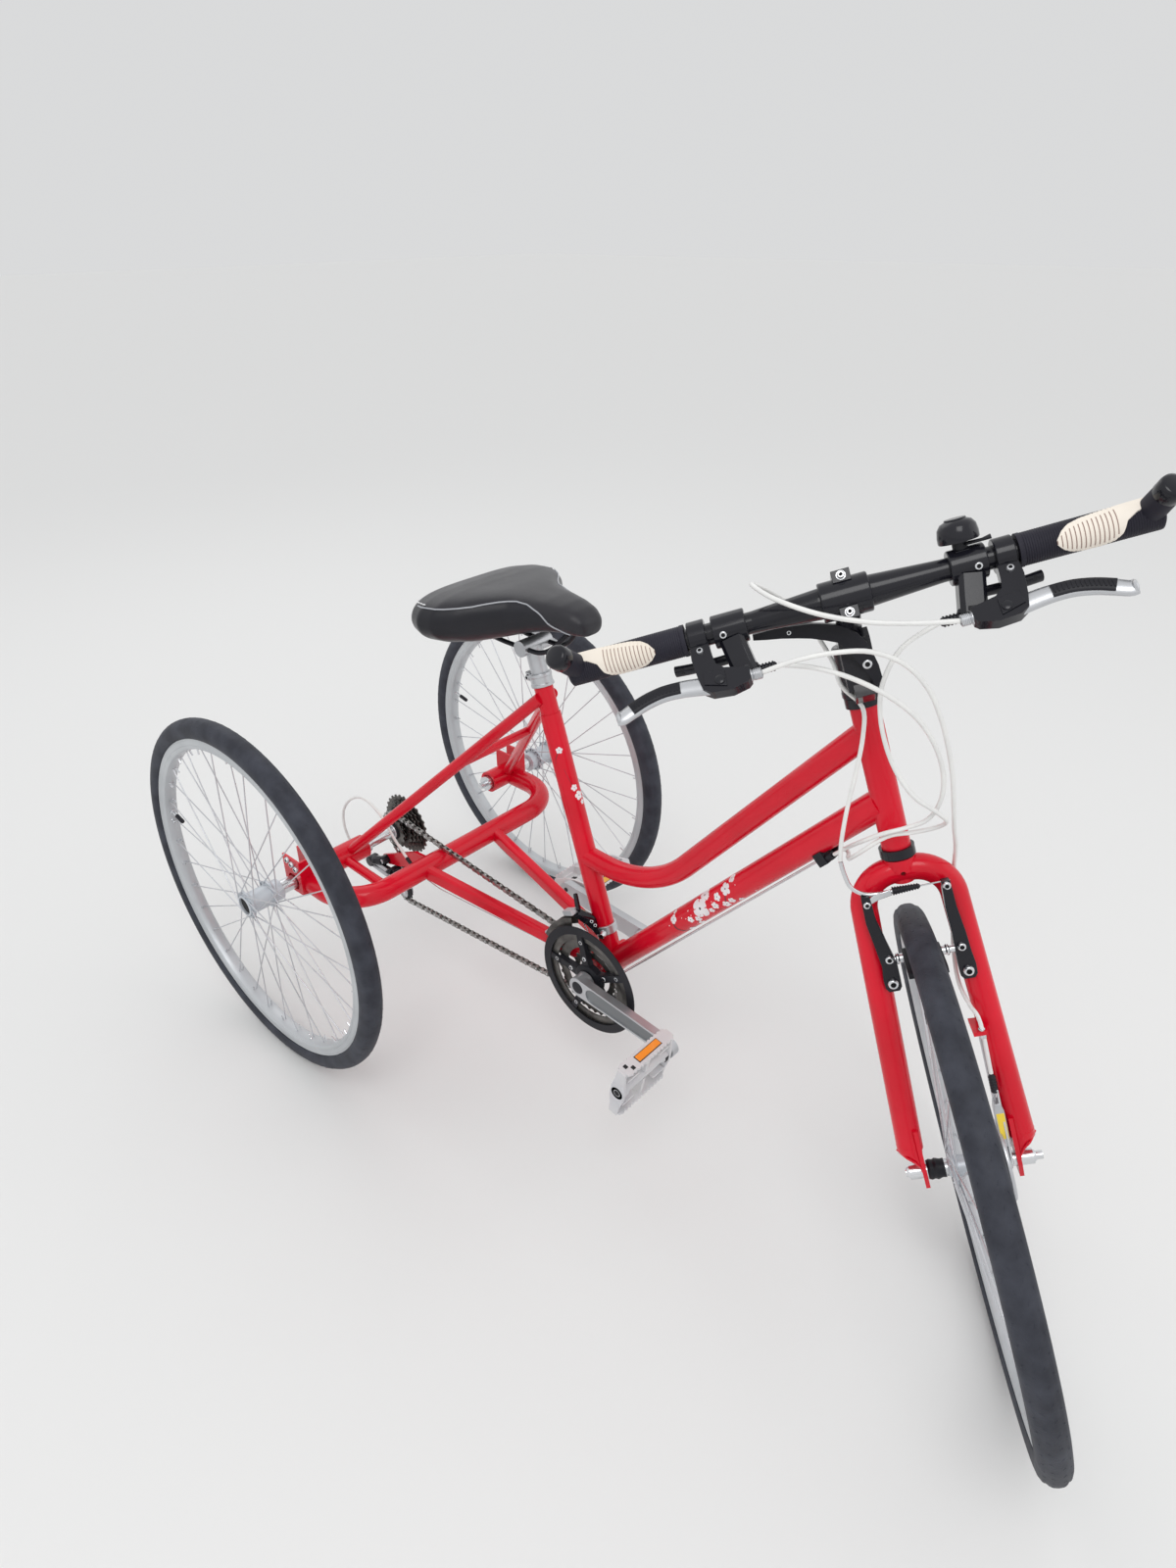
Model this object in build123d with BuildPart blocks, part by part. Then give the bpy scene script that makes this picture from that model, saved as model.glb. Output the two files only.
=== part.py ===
from build123d import *
import math
import os

# Adult tricycle: two wheels behind, one steered wheel in front. Millimetres, +X forward, +Y left, +Z up.
# The steering is turned to the rider's right, as the machine is parked.

# Driving sizes of the whole machine
rear_axle_x = -491.0
wheelbase = 1103.0
rear_track = 661.0
head_angle = 67.9
steering_turn = -54.9
fork_rake = 45.0

# Wheels
bead_radius = 279.5
tyre_half_width = 18.2
rim_half_width = 12.5
rim_flange_radius = 286.0
rim_inner_radius = 266.0
rim_wall = 2.0
seat_gap = 0.3
spoke_radius = 1.0
spoke_count = 36
spoke_lean = 62.0
flange_radius = 24.0
flange_margin = 3.5
flange_thickness = 3.0
flange_spread = 20.0

# Rear axles and their housings, each placed from the wheel's middle
hub_inner_reach = 40.5
hub_outer_reach = 25.5
hub_radius = 18.5
housing_hub_gap = 28.0
housing_right_length = 144.0
housing_left_length = 78.0
housing_radius = 21.0
housing_bore = 15.5
bearing_recess = 4.0
axle_radius = 10.0
axle_thread_radius = 6.0
axle_thread_length = 14.0
collar_radius = 12.0
collar_length = 9.0
collar_gap = 0.3
running_gap = 0.05
cap_length = 4.0

# Frame tubes
bracket_x = 489.0
bracket_z = 254.0
bracket_half_length = 34.0
bracket_radius = 20.0
spindle_radius = 8.5
seat_tube_angle = 72.2
seat_tube_length = 467.0
seat_tube_radius = 15.9
seat_sleeve_radius = 14.3
seat_sleeve_length = 48.0
seat_post_radius = 12.7
post_depth = 120.0
post_rise = 49.0
head_bottom = 401.0
head_length = 170.0
head_radius = 16.5
head_bore = 15.0
down_tube_radius = 18.0
down_tube_drop = 56.0
top_tube_radius = 16.0
top_tube_drop = 30.7
top_tube_seat = 187.0
top_tube_low_ahead = 72.0
top_tube_low_above = 173.0
top_tube_bend = 185.0
crossbar_x = 130.0
crossbar_drop = 4.9
crossbar_inset = 22.0
crossbar_radius = 18.5
crossbar_bend = 75.0
chainstay_width = 18.0
chainstay_height = 25.0
chainstay_right_y = -90.0
chainstay_left_y = 73.0
stay_radius = 9.3
stay_top = 22.0
stay_side = 12.0
stay_right_inset = 106.0
stay_left_inset = 29.0
bridge_radius = 7.5
bridge_share = 0.377
brace_radius = 8.5
brace_inset = 97.0
plate_thickness = 4.0
plate_half_length = 24.0
plate_inset = 32.0
plate_drop = 20.0
plate_rise = 46.0

# Steering parts, measured along the steering axis from its foot
steerer_radius = 12.7
steerer_gap = 0.3
cup_radius = 20.0
cup_height = 11.0
cup_gap = 0.5
crown_drop = 29.0
blade_radius = 15.5
blade_top_y = 49.0
blade_foot_height = 32.0
blade_foot_y = 64.0
blade_bend = 42.0
dropout_y = 54.0
dropout_thickness = 5.0
front_pin_radius = 5.0
stem_radius = 21.0
stem_rise = 58.0
bar_height = 702.0
bar_reach = 88.0
bar_radius = 11.2
bar_middle_radius = 15.5
bar_taper_start = 26.0
bar_taper_end = 92.0
bar_half_length = 258.0
clamp_radius = 20.0
clamp_half_length = 24.0
grip_radius = 16.5
grip_start_y = 160.0
grip_end_y = 286.0
perch_y = 148.0
lever_reach = 132.0
lever_height = 655.0
shifter_y = 115.0
boss_height = 250.0
boss_reach = 31.0
arm_top_height = 356.0
drum_radius = 46.0

# Drive
chain_y = -46.0
chain_pitch = 12.7
chain_links = 108
chain_width = 7.0
chain_height = 8.4
chain_waist = 6.2
chain_seat = 4.6
ring_teeth = [24, 34, 42]
ring_spacing = 6.0
ring_thickness = 2.2
guard_radius = 94.5
guard_width = 9.0
guard_gap = 4.0
sprocket_teeth = [14, 16, 18, 20, 22, 24, 28]
sprocket_spacing = 5.0
sprocket_thickness = 2.0
pulley_radius = 20.0
crank_length = 175.0
crank_fall = -4.5
crank_hub_y = 64.5
crank_thickness = 13.0
pedal_pin_radius = 5.0
pedal_length = 92.0
pedal_width = 106.0
pedal_height = 24.0

# Saddle
saddle_middle_rise = 62.0
rail_y = 21.0
rail_radius = 3.5

# Cables
housing_size = 2.5
wire_size = 0.9


def at(x, y, z):
    """A point measured forward from the rear axle, left from the middle and up from the floor."""
    return Vector(rear_axle_x + x, y, z)


def rod(start, end, radius, mode=Mode.ADD):
    """A round bar or tube outline between two points."""
    start = Vector(*start)
    run = Vector(*end) - start
    with BuildSketch(Plane(origin=start, z_dir=run), mode=Mode.PRIVATE) as section:
        Circle(radius)
    extrude(section.sketch, amount=run.length, mode=mode)


def bent_rod(points, bends, radius, mode=Mode.ADD):
    """A round bar along straight runs that are joined by arcs, one bend radius for each corner."""
    with BuildLine(mode=Mode.PRIVATE) as path:
        FilletPolyline(*points, radius=bends)
    plane = Plane(origin=points[0], z_dir=Vector(*points[1]) - Vector(*points[0]))
    with BuildSketch(plane, mode=Mode.PRIVATE) as section:
        Circle(radius)
    sweep(section.sketch, path=path.wire(), mode=mode)


def cable_bends(points):
    """Each bend takes 0.45 of its shorter run on both sides of its point."""
    bends = []
    for number in range(1, len(points) - 1):
        before = points[number] - points[number - 1]
        after = points[number + 1] - points[number]
        half_turn = math.radians(before.get_angle(after)) / 2
        bends.append(0.45 * min(before.length, after.length) / math.tan(half_turn))
    return bends


def cable(name, points, radius):
    """A cable of straight runs and bends; prints its bend radii, so that none is too tight."""
    bends = cable_bends(points)
    print(name, "bends", [round(bend) for bend in bends])
    bent_rod(points, bends, radius)


def pitch_radius(teeth):
    """The radius at which a chain lies on a toothed wheel."""
    return chain_pitch / (2 * math.sin(math.pi / teeth))


# Places that several pieces share
ring_radius = bead_radius + tyre_half_width
wheel_radius = ring_radius + tyre_half_width
wheel_y = rear_track / 2
head_slope = math.radians(head_angle)
turn = math.radians(steering_turn)
axis_up = Vector(-math.cos(head_slope), 0, math.sin(head_slope))
axis_forward = Vector(math.sin(head_slope), 0, math.cos(head_slope))

# The turned front wheel leans, so its own radius reaches less far down
wheel_lean = math.cos(head_slope) * math.sin(turn)
turned_reach = ring_radius * math.sqrt(1 - wheel_lean ** 2) + tyre_half_width
foot_z = turned_reach - fork_rake * math.cos(head_slope) * math.cos(turn)
axis_foot = at(wheelbase - fork_rake * math.sin(head_slope), 0, foot_z)
forward_turned = axis_forward * math.cos(turn) + Vector(0, 1, 0) * math.sin(turn)
left_turned = axis_up.cross(forward_turned)
steer = Plane(origin=axis_foot, x_dir=forward_turned, z_dir=axis_up)


def on_axis(height):
    """A point on the steering axis."""
    return axis_foot + axis_up * height


def turned(reach, side, height):
    """A point carried by the steering: ahead of its axis, left of its middle, up along the axis."""
    return steer.from_local_coords(Vector(reach, side, height))


head_top = head_bottom + head_length
crown_height = head_bottom - crown_drop
stem_low = head_top + cup_height + cup_gap
stem_top = stem_low + stem_rise
bracket = at(bracket_x, 0, bracket_z)
bracket_right = at(bracket_x, -bracket_half_length, bracket_z)
bracket_left = at(bracket_x, bracket_half_length, bracket_z)
seat_slope = math.radians(seat_tube_angle)
seat_up = Vector(-math.cos(seat_slope), 0, math.sin(seat_slope))
seat_top = bracket + seat_up * seat_tube_length
seat_step = seat_top - seat_up * seat_sleeve_length
post_head = seat_top + seat_up * post_rise
down_tube_end = on_axis(head_bottom + down_tube_drop)
top_tube_end = on_axis(head_top - top_tube_drop)
down_run = (down_tube_end - bracket).normalized()
down_under = down_run.cross(Vector(0, -1, 0))
hub_inner_y = wheel_y - hub_inner_reach
hub_outer_y = wheel_y + hub_outer_reach
housing_outer_y = hub_inner_y - housing_hub_gap
housing_right_y = housing_outer_y - housing_right_length
housing_left_y = housing_outer_y - housing_left_length
crossbar_z = wheel_radius - crossbar_drop
crossbar_y = housing_outer_y - crossbar_inset
stay_right_y = -housing_outer_y + stay_right_inset
stay_left_y = housing_outer_y - stay_left_inset
brace_y = -housing_outer_y + brace_inset
housing_spans = [(-housing_outer_y, -housing_right_y), (housing_left_y, housing_outer_y)]
crossbar_points = [
    at(0, -crossbar_y, crossbar_z),
    at(crossbar_x, -crossbar_y, crossbar_z),
    at(crossbar_x, crossbar_y, crossbar_z),
    at(0, crossbar_y, crossbar_z),
]


def axle(y):
    """A point on the line of the rear axles."""
    return at(0, y, wheel_radius)


stay_seat = seat_top - seat_up * stay_top
stay_lines = [
    (stay_seat + Vector(0, -stay_side, 0), axle(stay_right_y)),
    (stay_seat + Vector(0, stay_side, 0), axle(stay_left_y)),
]
foot_reach = fork_rake * (1 - blade_foot_height / crown_height)
blade_bends = []
for side in [-1, 1]:
    blade_bends.append(
        [
            turned(0, -side * 2, crown_height),
            turned(0, side * blade_top_y, crown_height),
            turned(foot_reach, side * blade_foot_y, blade_foot_height),
        ]
    )


def cut_head_tube():
    rod(on_axis(head_bottom), on_axis(head_top), head_radius, Mode.SUBTRACT)


def cut_bracket():
    rod(bracket_right, bracket_left, bracket_radius, Mode.SUBTRACT)


def cut_seat_tube():
    rod(bracket, seat_step, seat_tube_radius, Mode.SUBTRACT)
    rod(bracket, seat_top, seat_sleeve_radius, Mode.SUBTRACT)


def cut_housings():
    for low_y, high_y in housing_spans:
        rod(axle(low_y), axle(high_y), housing_radius, Mode.SUBTRACT)


def cut_crossbar():
    bent_rod(crossbar_points, [crossbar_bend, crossbar_bend], crossbar_radius, Mode.SUBTRACT)


def cut_blades():
    for points in blade_bends:
        bent_rod(points, [blade_bend], blade_radius, Mode.SUBTRACT)


def build_bar(mode=Mode.ADD):
    """The handlebar's own shape: thick in the middle, tapered towards the controls."""
    rod(turned(bar_reach, -bar_half_length, bar_height), turned(bar_reach, bar_half_length, bar_height), bar_radius, mode)
    rod(turned(bar_reach, -bar_taper_start, bar_height), turned(bar_reach, bar_taper_start, bar_height), bar_middle_radius, mode)
    for side in [-1, 1]:
        taper_plane = Plane(origin=turned(bar_reach, side * bar_taper_start, bar_height), z_dir=left_turned * side)
        with BuildSketch(taper_plane, mode=Mode.PRIVATE) as wide:
            Circle(bar_middle_radius)
        with BuildSketch(taper_plane.offset(bar_taper_end - bar_taper_start), mode=Mode.PRIVATE) as narrow:
            Circle(bar_radius)
        loft([wide.sketch.face(), narrow.sketch.face()], mode=mode)


def cut_bar():
    build_bar(Mode.SUBTRACT)


os.makedirs("parts", exist_ok=True)

# Head tube
with BuildPart() as head_tube:
    rod(on_axis(head_bottom), on_axis(head_top), head_radius)
    rod(on_axis(head_bottom), on_axis(head_top), head_bore, Mode.SUBTRACT)
head_tube.part.label = "head_tube"
export_step(head_tube.part, "parts/head_tube.step")

# Down tube
weld_sink = 4.0
with BuildPart() as down_tube:
    rod(bracket, down_tube_end - down_run * weld_sink, down_tube_radius)
    cut_head_tube()
    cut_bracket()
    cut_seat_tube()
down_tube.part.label = "down_tube"
export_step(down_tube.part, "parts/down_tube.step")

# Top tube, low at the seat tube and bent up to the head tube
top_tube_low = at(bracket_x + top_tube_low_ahead, 0, bracket_z + top_tube_low_above)
top_rise = (top_tube_end - top_tube_low).normalized()
with BuildPart() as top_tube:
    top_points = [bracket + seat_up * top_tube_seat, top_tube_low, top_tube_end - top_rise * weld_sink]
    bent_rod(top_points, [top_tube_bend], top_tube_radius)
    cut_head_tube()
    cut_seat_tube()
top_tube.part.label = "top_tube"
export_step(top_tube.part, "parts/top_tube.step")

# Seat tube with a thinner sleeve on top, open for the seat post
with BuildPart() as seat_tube:
    rod(bracket, seat_step, seat_tube_radius)
    rod(bracket, seat_top, seat_sleeve_radius)
    rod(seat_top - seat_up * post_depth, seat_top, seat_post_radius, Mode.SUBTRACT)
    cut_bracket()
seat_tube.part.label = "seat_tube"
export_step(seat_tube.part, "parts/seat_tube.step")

# Bottom bracket shell, with the spindle's bore
with BuildPart() as bottom_bracket_shell:
    rod(bracket_right, bracket_left, bracket_radius)
    rod(bracket_right, bracket_left, spindle_radius + running_gap, Mode.SUBTRACT)
bottom_bracket_shell.part.label = "bottom_bracket_shell"
export_step(bottom_bracket_shell.part, "parts/bottom_bracket_shell.step")

# Chainstays, from the bottom bracket to the crossbar
with BuildPart() as chainstays:
    for bracket_side, crossbar_side in [(-chainstay_width, chainstay_right_y), (chainstay_width, chainstay_left_y)]:
        stay_start = at(bracket_x, bracket_side, bracket_z)
        stay_run = at(crossbar_x, crossbar_side, crossbar_z) - stay_start
        with BuildSketch(Plane(origin=stay_start, x_dir=stay_run.cross(Vector(0, 0, 1)), z_dir=stay_run)):
            RectangleRounded(chainstay_width, chainstay_height, chainstay_width / 3)
        extrude(amount=stay_run.length)
    cut_bracket()
    cut_crossbar()
    cut_seat_tube()
chainstays.part.label = "chainstays"
export_step(chainstays.part, "parts/chainstays.step")

# Crossbar, a wide U that carries both axle housings
with BuildPart() as axle_crossbar:
    bent_rod(crossbar_points, [crossbar_bend, crossbar_bend], crossbar_radius)
    cut_housings()
axle_crossbar.part.label = "axle_crossbar"
export_step(axle_crossbar.part, "parts/axle_crossbar.step")

# Axle housings, recessed at each end outside their bearings
with BuildPart() as axle_housings:
    for low_y, high_y in housing_spans:
        rod(axle(low_y), axle(high_y), housing_radius)
        rod(axle(low_y), axle(high_y), axle_radius + running_gap, Mode.SUBTRACT)
        rod(axle(low_y), axle(low_y + bearing_recess), housing_bore, Mode.SUBTRACT)
        rod(axle(high_y - bearing_recess), axle(high_y), housing_bore, Mode.SUBTRACT)
axle_housings.part.label = "axle_housings"
export_step(axle_housings.part, "parts/axle_housings.step")

# Brackets on the outer ends of the housings: a plate folded round three sides
with BuildPart() as axle_brackets:
    for side in [-1, 1]:
        outer_wall = side * (housing_outer_y - plate_thickness / 2)
        inner_wall = side * (housing_outer_y - plate_inset + plate_thickness / 2)
        with BuildSketch(Plane.XY.offset(wheel_radius - plate_drop)):
            for wall_y in [outer_wall, inner_wall]:
                with Locations((rear_axle_x, wall_y)):
                    Rectangle(2 * plate_half_length, plate_thickness)
            with Locations((rear_axle_x + plate_half_length - plate_thickness / 2, (outer_wall + inner_wall) / 2)):
                Rectangle(plate_thickness, plate_inset)
        extrude(amount=plate_drop + plate_rise)
    cut_housings()
    cut_crossbar()
    rod(*stay_lines[1], stay_radius, Mode.SUBTRACT)
axle_brackets.part.label = "axle_brackets"
export_step(axle_brackets.part, "parts/axle_brackets.step")

# Seat stays and the bridge between them, welded as one piece
with BuildPart() as seat_stays:
    for stay_start, stay_end in stay_lines:
        rod(stay_start, stay_end, stay_radius)
    bridge_ends = [start + (end - start) * bridge_share for start, end in stay_lines]
    rod(bridge_ends[0], bridge_ends[1], bridge_radius)
    cut_seat_tube()
    cut_housings()
    cut_crossbar()
seat_stays.part.label = "seat_stays"
export_step(seat_stays.part, "parts/seat_stays.step")

# Brace between the right housing and the crossbar
with BuildPart() as axle_brace:
    rod(axle(brace_y), at(crossbar_x, brace_y, crossbar_z), brace_radius)
    cut_housings()
    cut_crossbar()
    rod(*stay_lines[0], stay_radius, Mode.SUBTRACT)
axle_brace.part.label = "axle_brace"
export_step(axle_brace.part, "parts/axle_brace.step")

# Hanger plate for the rear derailleur, welded behind the crossbar; heights are below the axle
hanger_y = chain_y - 14
hanger_thickness = 5.0
hanger_eye = (-16.0, -64.0)
hanger_outline = [(-28, -60), (72, -10), (crossbar_x, -crossbar_drop), (crossbar_x - 6, -24), (22, -64), (-18, -76)]
with BuildPart() as derailleur_hanger:
    with BuildSketch(Plane(origin=axle(hanger_y), x_dir=(1, 0, 0), z_dir=(0, -1, 0))):
        Polygon(*hanger_outline, align=None)
    extrude(amount=hanger_thickness / 2, both=True)
    cut_crossbar()
derailleur_hanger.part.label = "derailleur_hanger"
export_step(derailleur_hanger.part, "parts/derailleur_hanger.step")

# Seat clamp, a collar with its bolt behind
clamp_height = 20.0
clamp_overlap = 6.0
clamp_wall = 3.0
with BuildPart() as seat_clamp:
    rod(seat_top - seat_up * clamp_overlap, seat_top + seat_up * (clamp_height - clamp_overlap), seat_sleeve_radius + clamp_wall)
    bolt_middle = seat_top + Vector(-seat_sleeve_radius - 5, 0, 1)
    rod(bolt_middle + Vector(0, -9, 0), bolt_middle + Vector(0, 9, 0), 4.5)
    rod(seat_top - seat_up * post_depth, seat_top, seat_sleeve_radius, Mode.SUBTRACT)
    rod(seat_top, post_head, seat_post_radius, Mode.SUBTRACT)
seat_clamp.part.label = "seat_clamp"
export_step(seat_clamp.part, "parts/seat_clamp.step")

# Saddle: sections from its rear edge to its nose, each a distance ahead of the post's head,
# half its width, its top and its bottom above the saddle's own middle
saddle_middle = post_head.Z + saddle_middle_rise
saddle_sections = [
    (-142, 74, 12, -22),
    (-128, 100, 24, -36),
    (-95, 118, 33, -42),
    (-55, 109, 34, -40),
    (-10, 73, 32, -33),
    (35, 43, 31, -21),
    (75, 33, 30, -13),
    (98, 30, 26, -13),
    (118, 20, 16, -9),
]
saddle_corner = 0.46
with BuildPart() as saddle:
    for ahead, half_width, top, bottom in saddle_sections:
        section_middle = Vector(post_head.X + ahead, 0, saddle_middle + (top + bottom) / 2)
        with BuildSketch(Plane(origin=section_middle, x_dir=(0, 1, 0), z_dir=(1, 0, 0))):
            RectangleRounded(2 * half_width, top - bottom, saddle_corner * (top - bottom))
    loft()
saddle.part.label = "saddle"
export_step(saddle.part, "parts/saddle.step")

# Saddle rails, bent up to the saddle's nose and rear
rail_height = post_head.Z + 8
rail_lines = []
for side in [-1, 1]:
    rail_lines.append(
        [
            Vector(post_head.X + 78, side * rail_y * 0.5, saddle_middle - 13 - seat_gap - 3.2),
            Vector(post_head.X + 44, side * rail_y, rail_height),
            Vector(post_head.X - 44, side * rail_y, rail_height),
            Vector(post_head.X - 82, side * rail_y * 1.3, saddle_middle - 42 - seat_gap - 3.2),
        ]
    )
with BuildPart() as saddle_rails:
    for points in rail_lines:
        bent_rod(points, cable_bends(points), rail_radius)
saddle_rails.part.label = "saddle_rails"
export_step(saddle_rails.part, "parts/saddle_rails.step")

# Seat post with the rails' clamp on its head
rail_clamp_radius = 12.0
with BuildPart() as seat_post:
    rod(seat_top - seat_up * (post_depth - 2), post_head, seat_post_radius)
    clamp_middle = Vector(post_head.X, 0, rail_height)
    rod(clamp_middle - Vector(0, rail_y + 7, 0), clamp_middle + Vector(0, rail_y + 7, 0), rail_clamp_radius)
    rod(post_head - seat_up * 15, clamp_middle, seat_post_radius)
    for points in rail_lines:
        bent_rod(points, cable_bends(points), rail_radius, Mode.SUBTRACT)
seat_post.part.label = "seat_post"
export_step(seat_post.part, "parts/seat_post.step")

# Headset cups, above and below the head tube
with BuildPart() as headset_cups:
    for low in [head_bottom - cup_height, head_top]:
        rod(on_axis(low), on_axis(low + cup_height), cup_radius)
        rod(on_axis(low), on_axis(low + cup_height), steerer_radius + steerer_gap, Mode.SUBTRACT)
headset_cups.part.label = "headset_cups"
export_step(headset_cups.part, "parts/headset_cups.step")

# Cable stop under the down tube, with a mouth for each shift cable
stop_along = 485.0
stop_length = 14.0
stop_depth = 11.0
stop_half_width = 15.0
mouth_y = 9.0
mouth_radius = 4.6
mouth_length = 24.0
stop_centre = bracket + down_run * stop_along
mouth_drop = down_tube_radius + 5.5
with BuildPart() as cable_stop:
    with BuildSketch(Plane(origin=stop_centre, x_dir=(0, 1, 0), z_dir=down_run)):
        with Locations((0, -down_tube_radius - stop_depth / 2 + 3)):
            Rectangle(2 * stop_half_width, stop_depth + 6)
    extrude(amount=stop_length)
    for side in [-1, 1]:
        mouth = stop_centre + down_under * mouth_drop + Vector(0, side * mouth_y, 0)
        rod(mouth, mouth + down_run * mouth_length, mouth_radius)
    rod(bracket, down_tube_end, down_tube_radius, Mode.SUBTRACT)
cable_stop.part.label = "cable_stop"
export_step(cable_stop.part, "parts/cable_stop.step")


def wheel_plane(centre, left):
    """A plane through a wheel's middle, with its normal along the axle to the left."""
    return Plane(origin=centre, x_dir=forward_turned if abs(left.X) > 0.01 else (1, 0, 0), z_dir=left)


rear_plane_right = wheel_plane(axle(-wheel_y), Vector(0, 1, 0))
rear_plane_left = wheel_plane(axle(wheel_y), Vector(0, 1, 0))
front_plane = wheel_plane(turned(fork_rake, 0, 0), left_turned)


def disc(plane, low, high, radius, mode=Mode.ADD):
    """A round disc or bar on a wheel's axle, from one distance left of its middle to another."""
    rod(plane.from_local_coords((0, 0, low)), plane.from_local_coords((0, 0, high)), radius, mode)


def half_plane(plane):
    """The plane in which a wheel's own section is drawn: outward first, then along the axle."""
    return Plane(origin=plane.origin, x_dir=plane.x_dir, z_dir=plane.x_dir.cross(plane.z_dir))


tyre_foot = rim_flange_radius + seat_gap
tyre_edge = math.sqrt(tyre_half_width ** 2 - (ring_radius - tyre_foot) ** 2)
rim_floor = rim_inner_radius + 9
rim_shoulder = rim_inner_radius + 6
rim_outline = [
    (rim_inner_radius, -rim_half_width / 2),
    (rim_shoulder, -rim_half_width),
    (rim_flange_radius, -rim_half_width),
    (rim_flange_radius, -rim_half_width + rim_wall),
    (rim_floor, -rim_half_width + rim_wall),
    (rim_floor, rim_half_width - rim_wall),
    (rim_flange_radius, rim_half_width - rim_wall),
    (rim_flange_radius, rim_half_width),
    (rim_shoulder, rim_half_width),
    (rim_inner_radius, rim_half_width / 2),
]
hole_radius = flange_radius - flange_margin
drum_hole_radius = drum_radius - flange_margin
drum_flange_place = 16.0
rear_flanges = [(-flange_spread, hole_radius), (flange_spread, hole_radius)]
front_flanges = [(-flange_spread, hole_radius), (drum_flange_place, drum_hole_radius)]
wheels = [
    ("right", rear_plane_right, rear_flanges),
    ("left", rear_plane_left, rear_flanges),
    ("front", front_plane, front_flanges),
]
for name, plane, flanges in wheels:
    # The tyre, its feet just outside the rim's edges
    with BuildPart() as tyre:
        with BuildSketch(half_plane(plane)):
            with BuildLine():
                ThreePointArc((tyre_foot, -tyre_edge), (wheel_radius, 0), (tyre_foot, tyre_edge))
                Line((tyre_foot, tyre_edge), (tyre_foot, -tyre_edge))
            make_face()
        revolve(axis=Axis(plane.origin, plane.z_dir))
    tyre.part.label = name + "_tyre"
    export_step(tyre.part, "parts/" + name + "_tyre.step")

    # The rim
    with BuildPart() as rim:
        with BuildSketch(half_plane(plane)):
            Polygon(*rim_outline, align=None)
        revolve(axis=Axis(plane.origin, plane.z_dir))
    rim.part.label = name + "_rim"
    export_step(rim.part, "parts/" + name + "_rim.step")

    # Crossed spokes, half of them to each flange
    spoke_reach = rim_inner_radius - 0.2
    with BuildPart() as spokes:
        for number in range(spoke_count):
            place, inner_radius = flanges[number % 2]
            ahead = 1 if (number // 2) % 2 == 0 else -1
            rim_angle = math.radians(360 / spoke_count * number)
            hub_angle = rim_angle + math.radians(spoke_lean) * ahead
            spoke_gap = 1.05 if place * ahead > 0 else 0.15
            beside = place + (flange_thickness / 2 + spoke_radius + spoke_gap) * ahead
            hub_end = (inner_radius * math.cos(hub_angle), inner_radius * math.sin(hub_angle), beside)
            rim_end = (spoke_reach * math.cos(rim_angle), spoke_reach * math.sin(rim_angle), math.copysign(2.5, place))
            rod(plane.from_local_coords(hub_end), plane.from_local_coords(rim_end), spoke_radius)
    spokes.part.label = name + "_spokes"
    export_step(spokes.part, "parts/" + name + "_spokes.step")

# Rear hubs, keyed on their axles
for name, plane, side in [("right", rear_plane_right, -1), ("left", rear_plane_left, 1)]:
    with BuildPart() as hub:
        disc(plane, -hub_inner_reach * side, hub_outer_reach * side, hub_radius)
        for place in [-flange_spread, flange_spread]:
            disc(plane, place - flange_thickness / 2, place + flange_thickness / 2, flange_radius)
        disc(plane, -hub_inner_reach - 1, hub_inner_reach + 1, axle_radius, Mode.SUBTRACT)
    hub.part.label = name + "_hub"
    export_step(hub.part, "parts/" + name + "_hub.step")

# Rear axles: the right one reaches in to the sprockets, the left one ends in a nut
axle_inner_y = 20.0
with BuildPart() as right_axle:
    rod(axle(-hub_outer_y + cap_length), axle(-axle_inner_y), axle_radius)
    rod(axle(-hub_inner_y), axle(-housing_outer_y - collar_gap), collar_radius)
    rod(axle(-housing_right_y + collar_gap), axle(-housing_right_y + collar_gap + collar_length), collar_radius + 2)
    rod(axle(-axle_inner_y), axle(-axle_inner_y + axle_thread_length), axle_thread_radius)
right_axle.part.label = "right_axle"
export_step(right_axle.part, "parts/right_axle.step")

left_end_y = housing_left_y - collar_gap - collar_length
with BuildPart() as left_axle:
    rod(axle(left_end_y), axle(hub_outer_y - cap_length), axle_radius)
    rod(axle(housing_outer_y + collar_gap), axle(hub_inner_y), collar_radius)
    rod(axle(left_end_y), axle(housing_left_y - collar_gap), collar_radius + 2)
    rod(axle(left_end_y - axle_thread_length), axle(left_end_y), axle_thread_radius)
left_axle.part.label = "left_axle"
export_step(left_axle.part, "parts/left_axle.step")

# Front hub with the brake drum on its left
hub_right_end = 26.0
front_hub_radius = 16.0
drum_low = 22.0
drum_high = 36.0
with BuildPart() as front_hub:
    disc(front_plane, -hub_right_end, drum_high, front_hub_radius)
    disc(front_plane, -flange_spread - flange_thickness / 2, -flange_spread + flange_thickness / 2, flange_radius)
    disc(front_plane, drum_flange_place - flange_thickness / 2, drum_flange_place + flange_thickness / 2, drum_radius)
    disc(front_plane, drum_low, drum_high, drum_radius - 2)
    disc(front_plane, -hub_right_end, drum_high, front_pin_radius + running_gap, Mode.SUBTRACT)
front_hub.part.label = "front_hub"
export_step(front_hub.part, "parts/front_hub.step")

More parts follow.
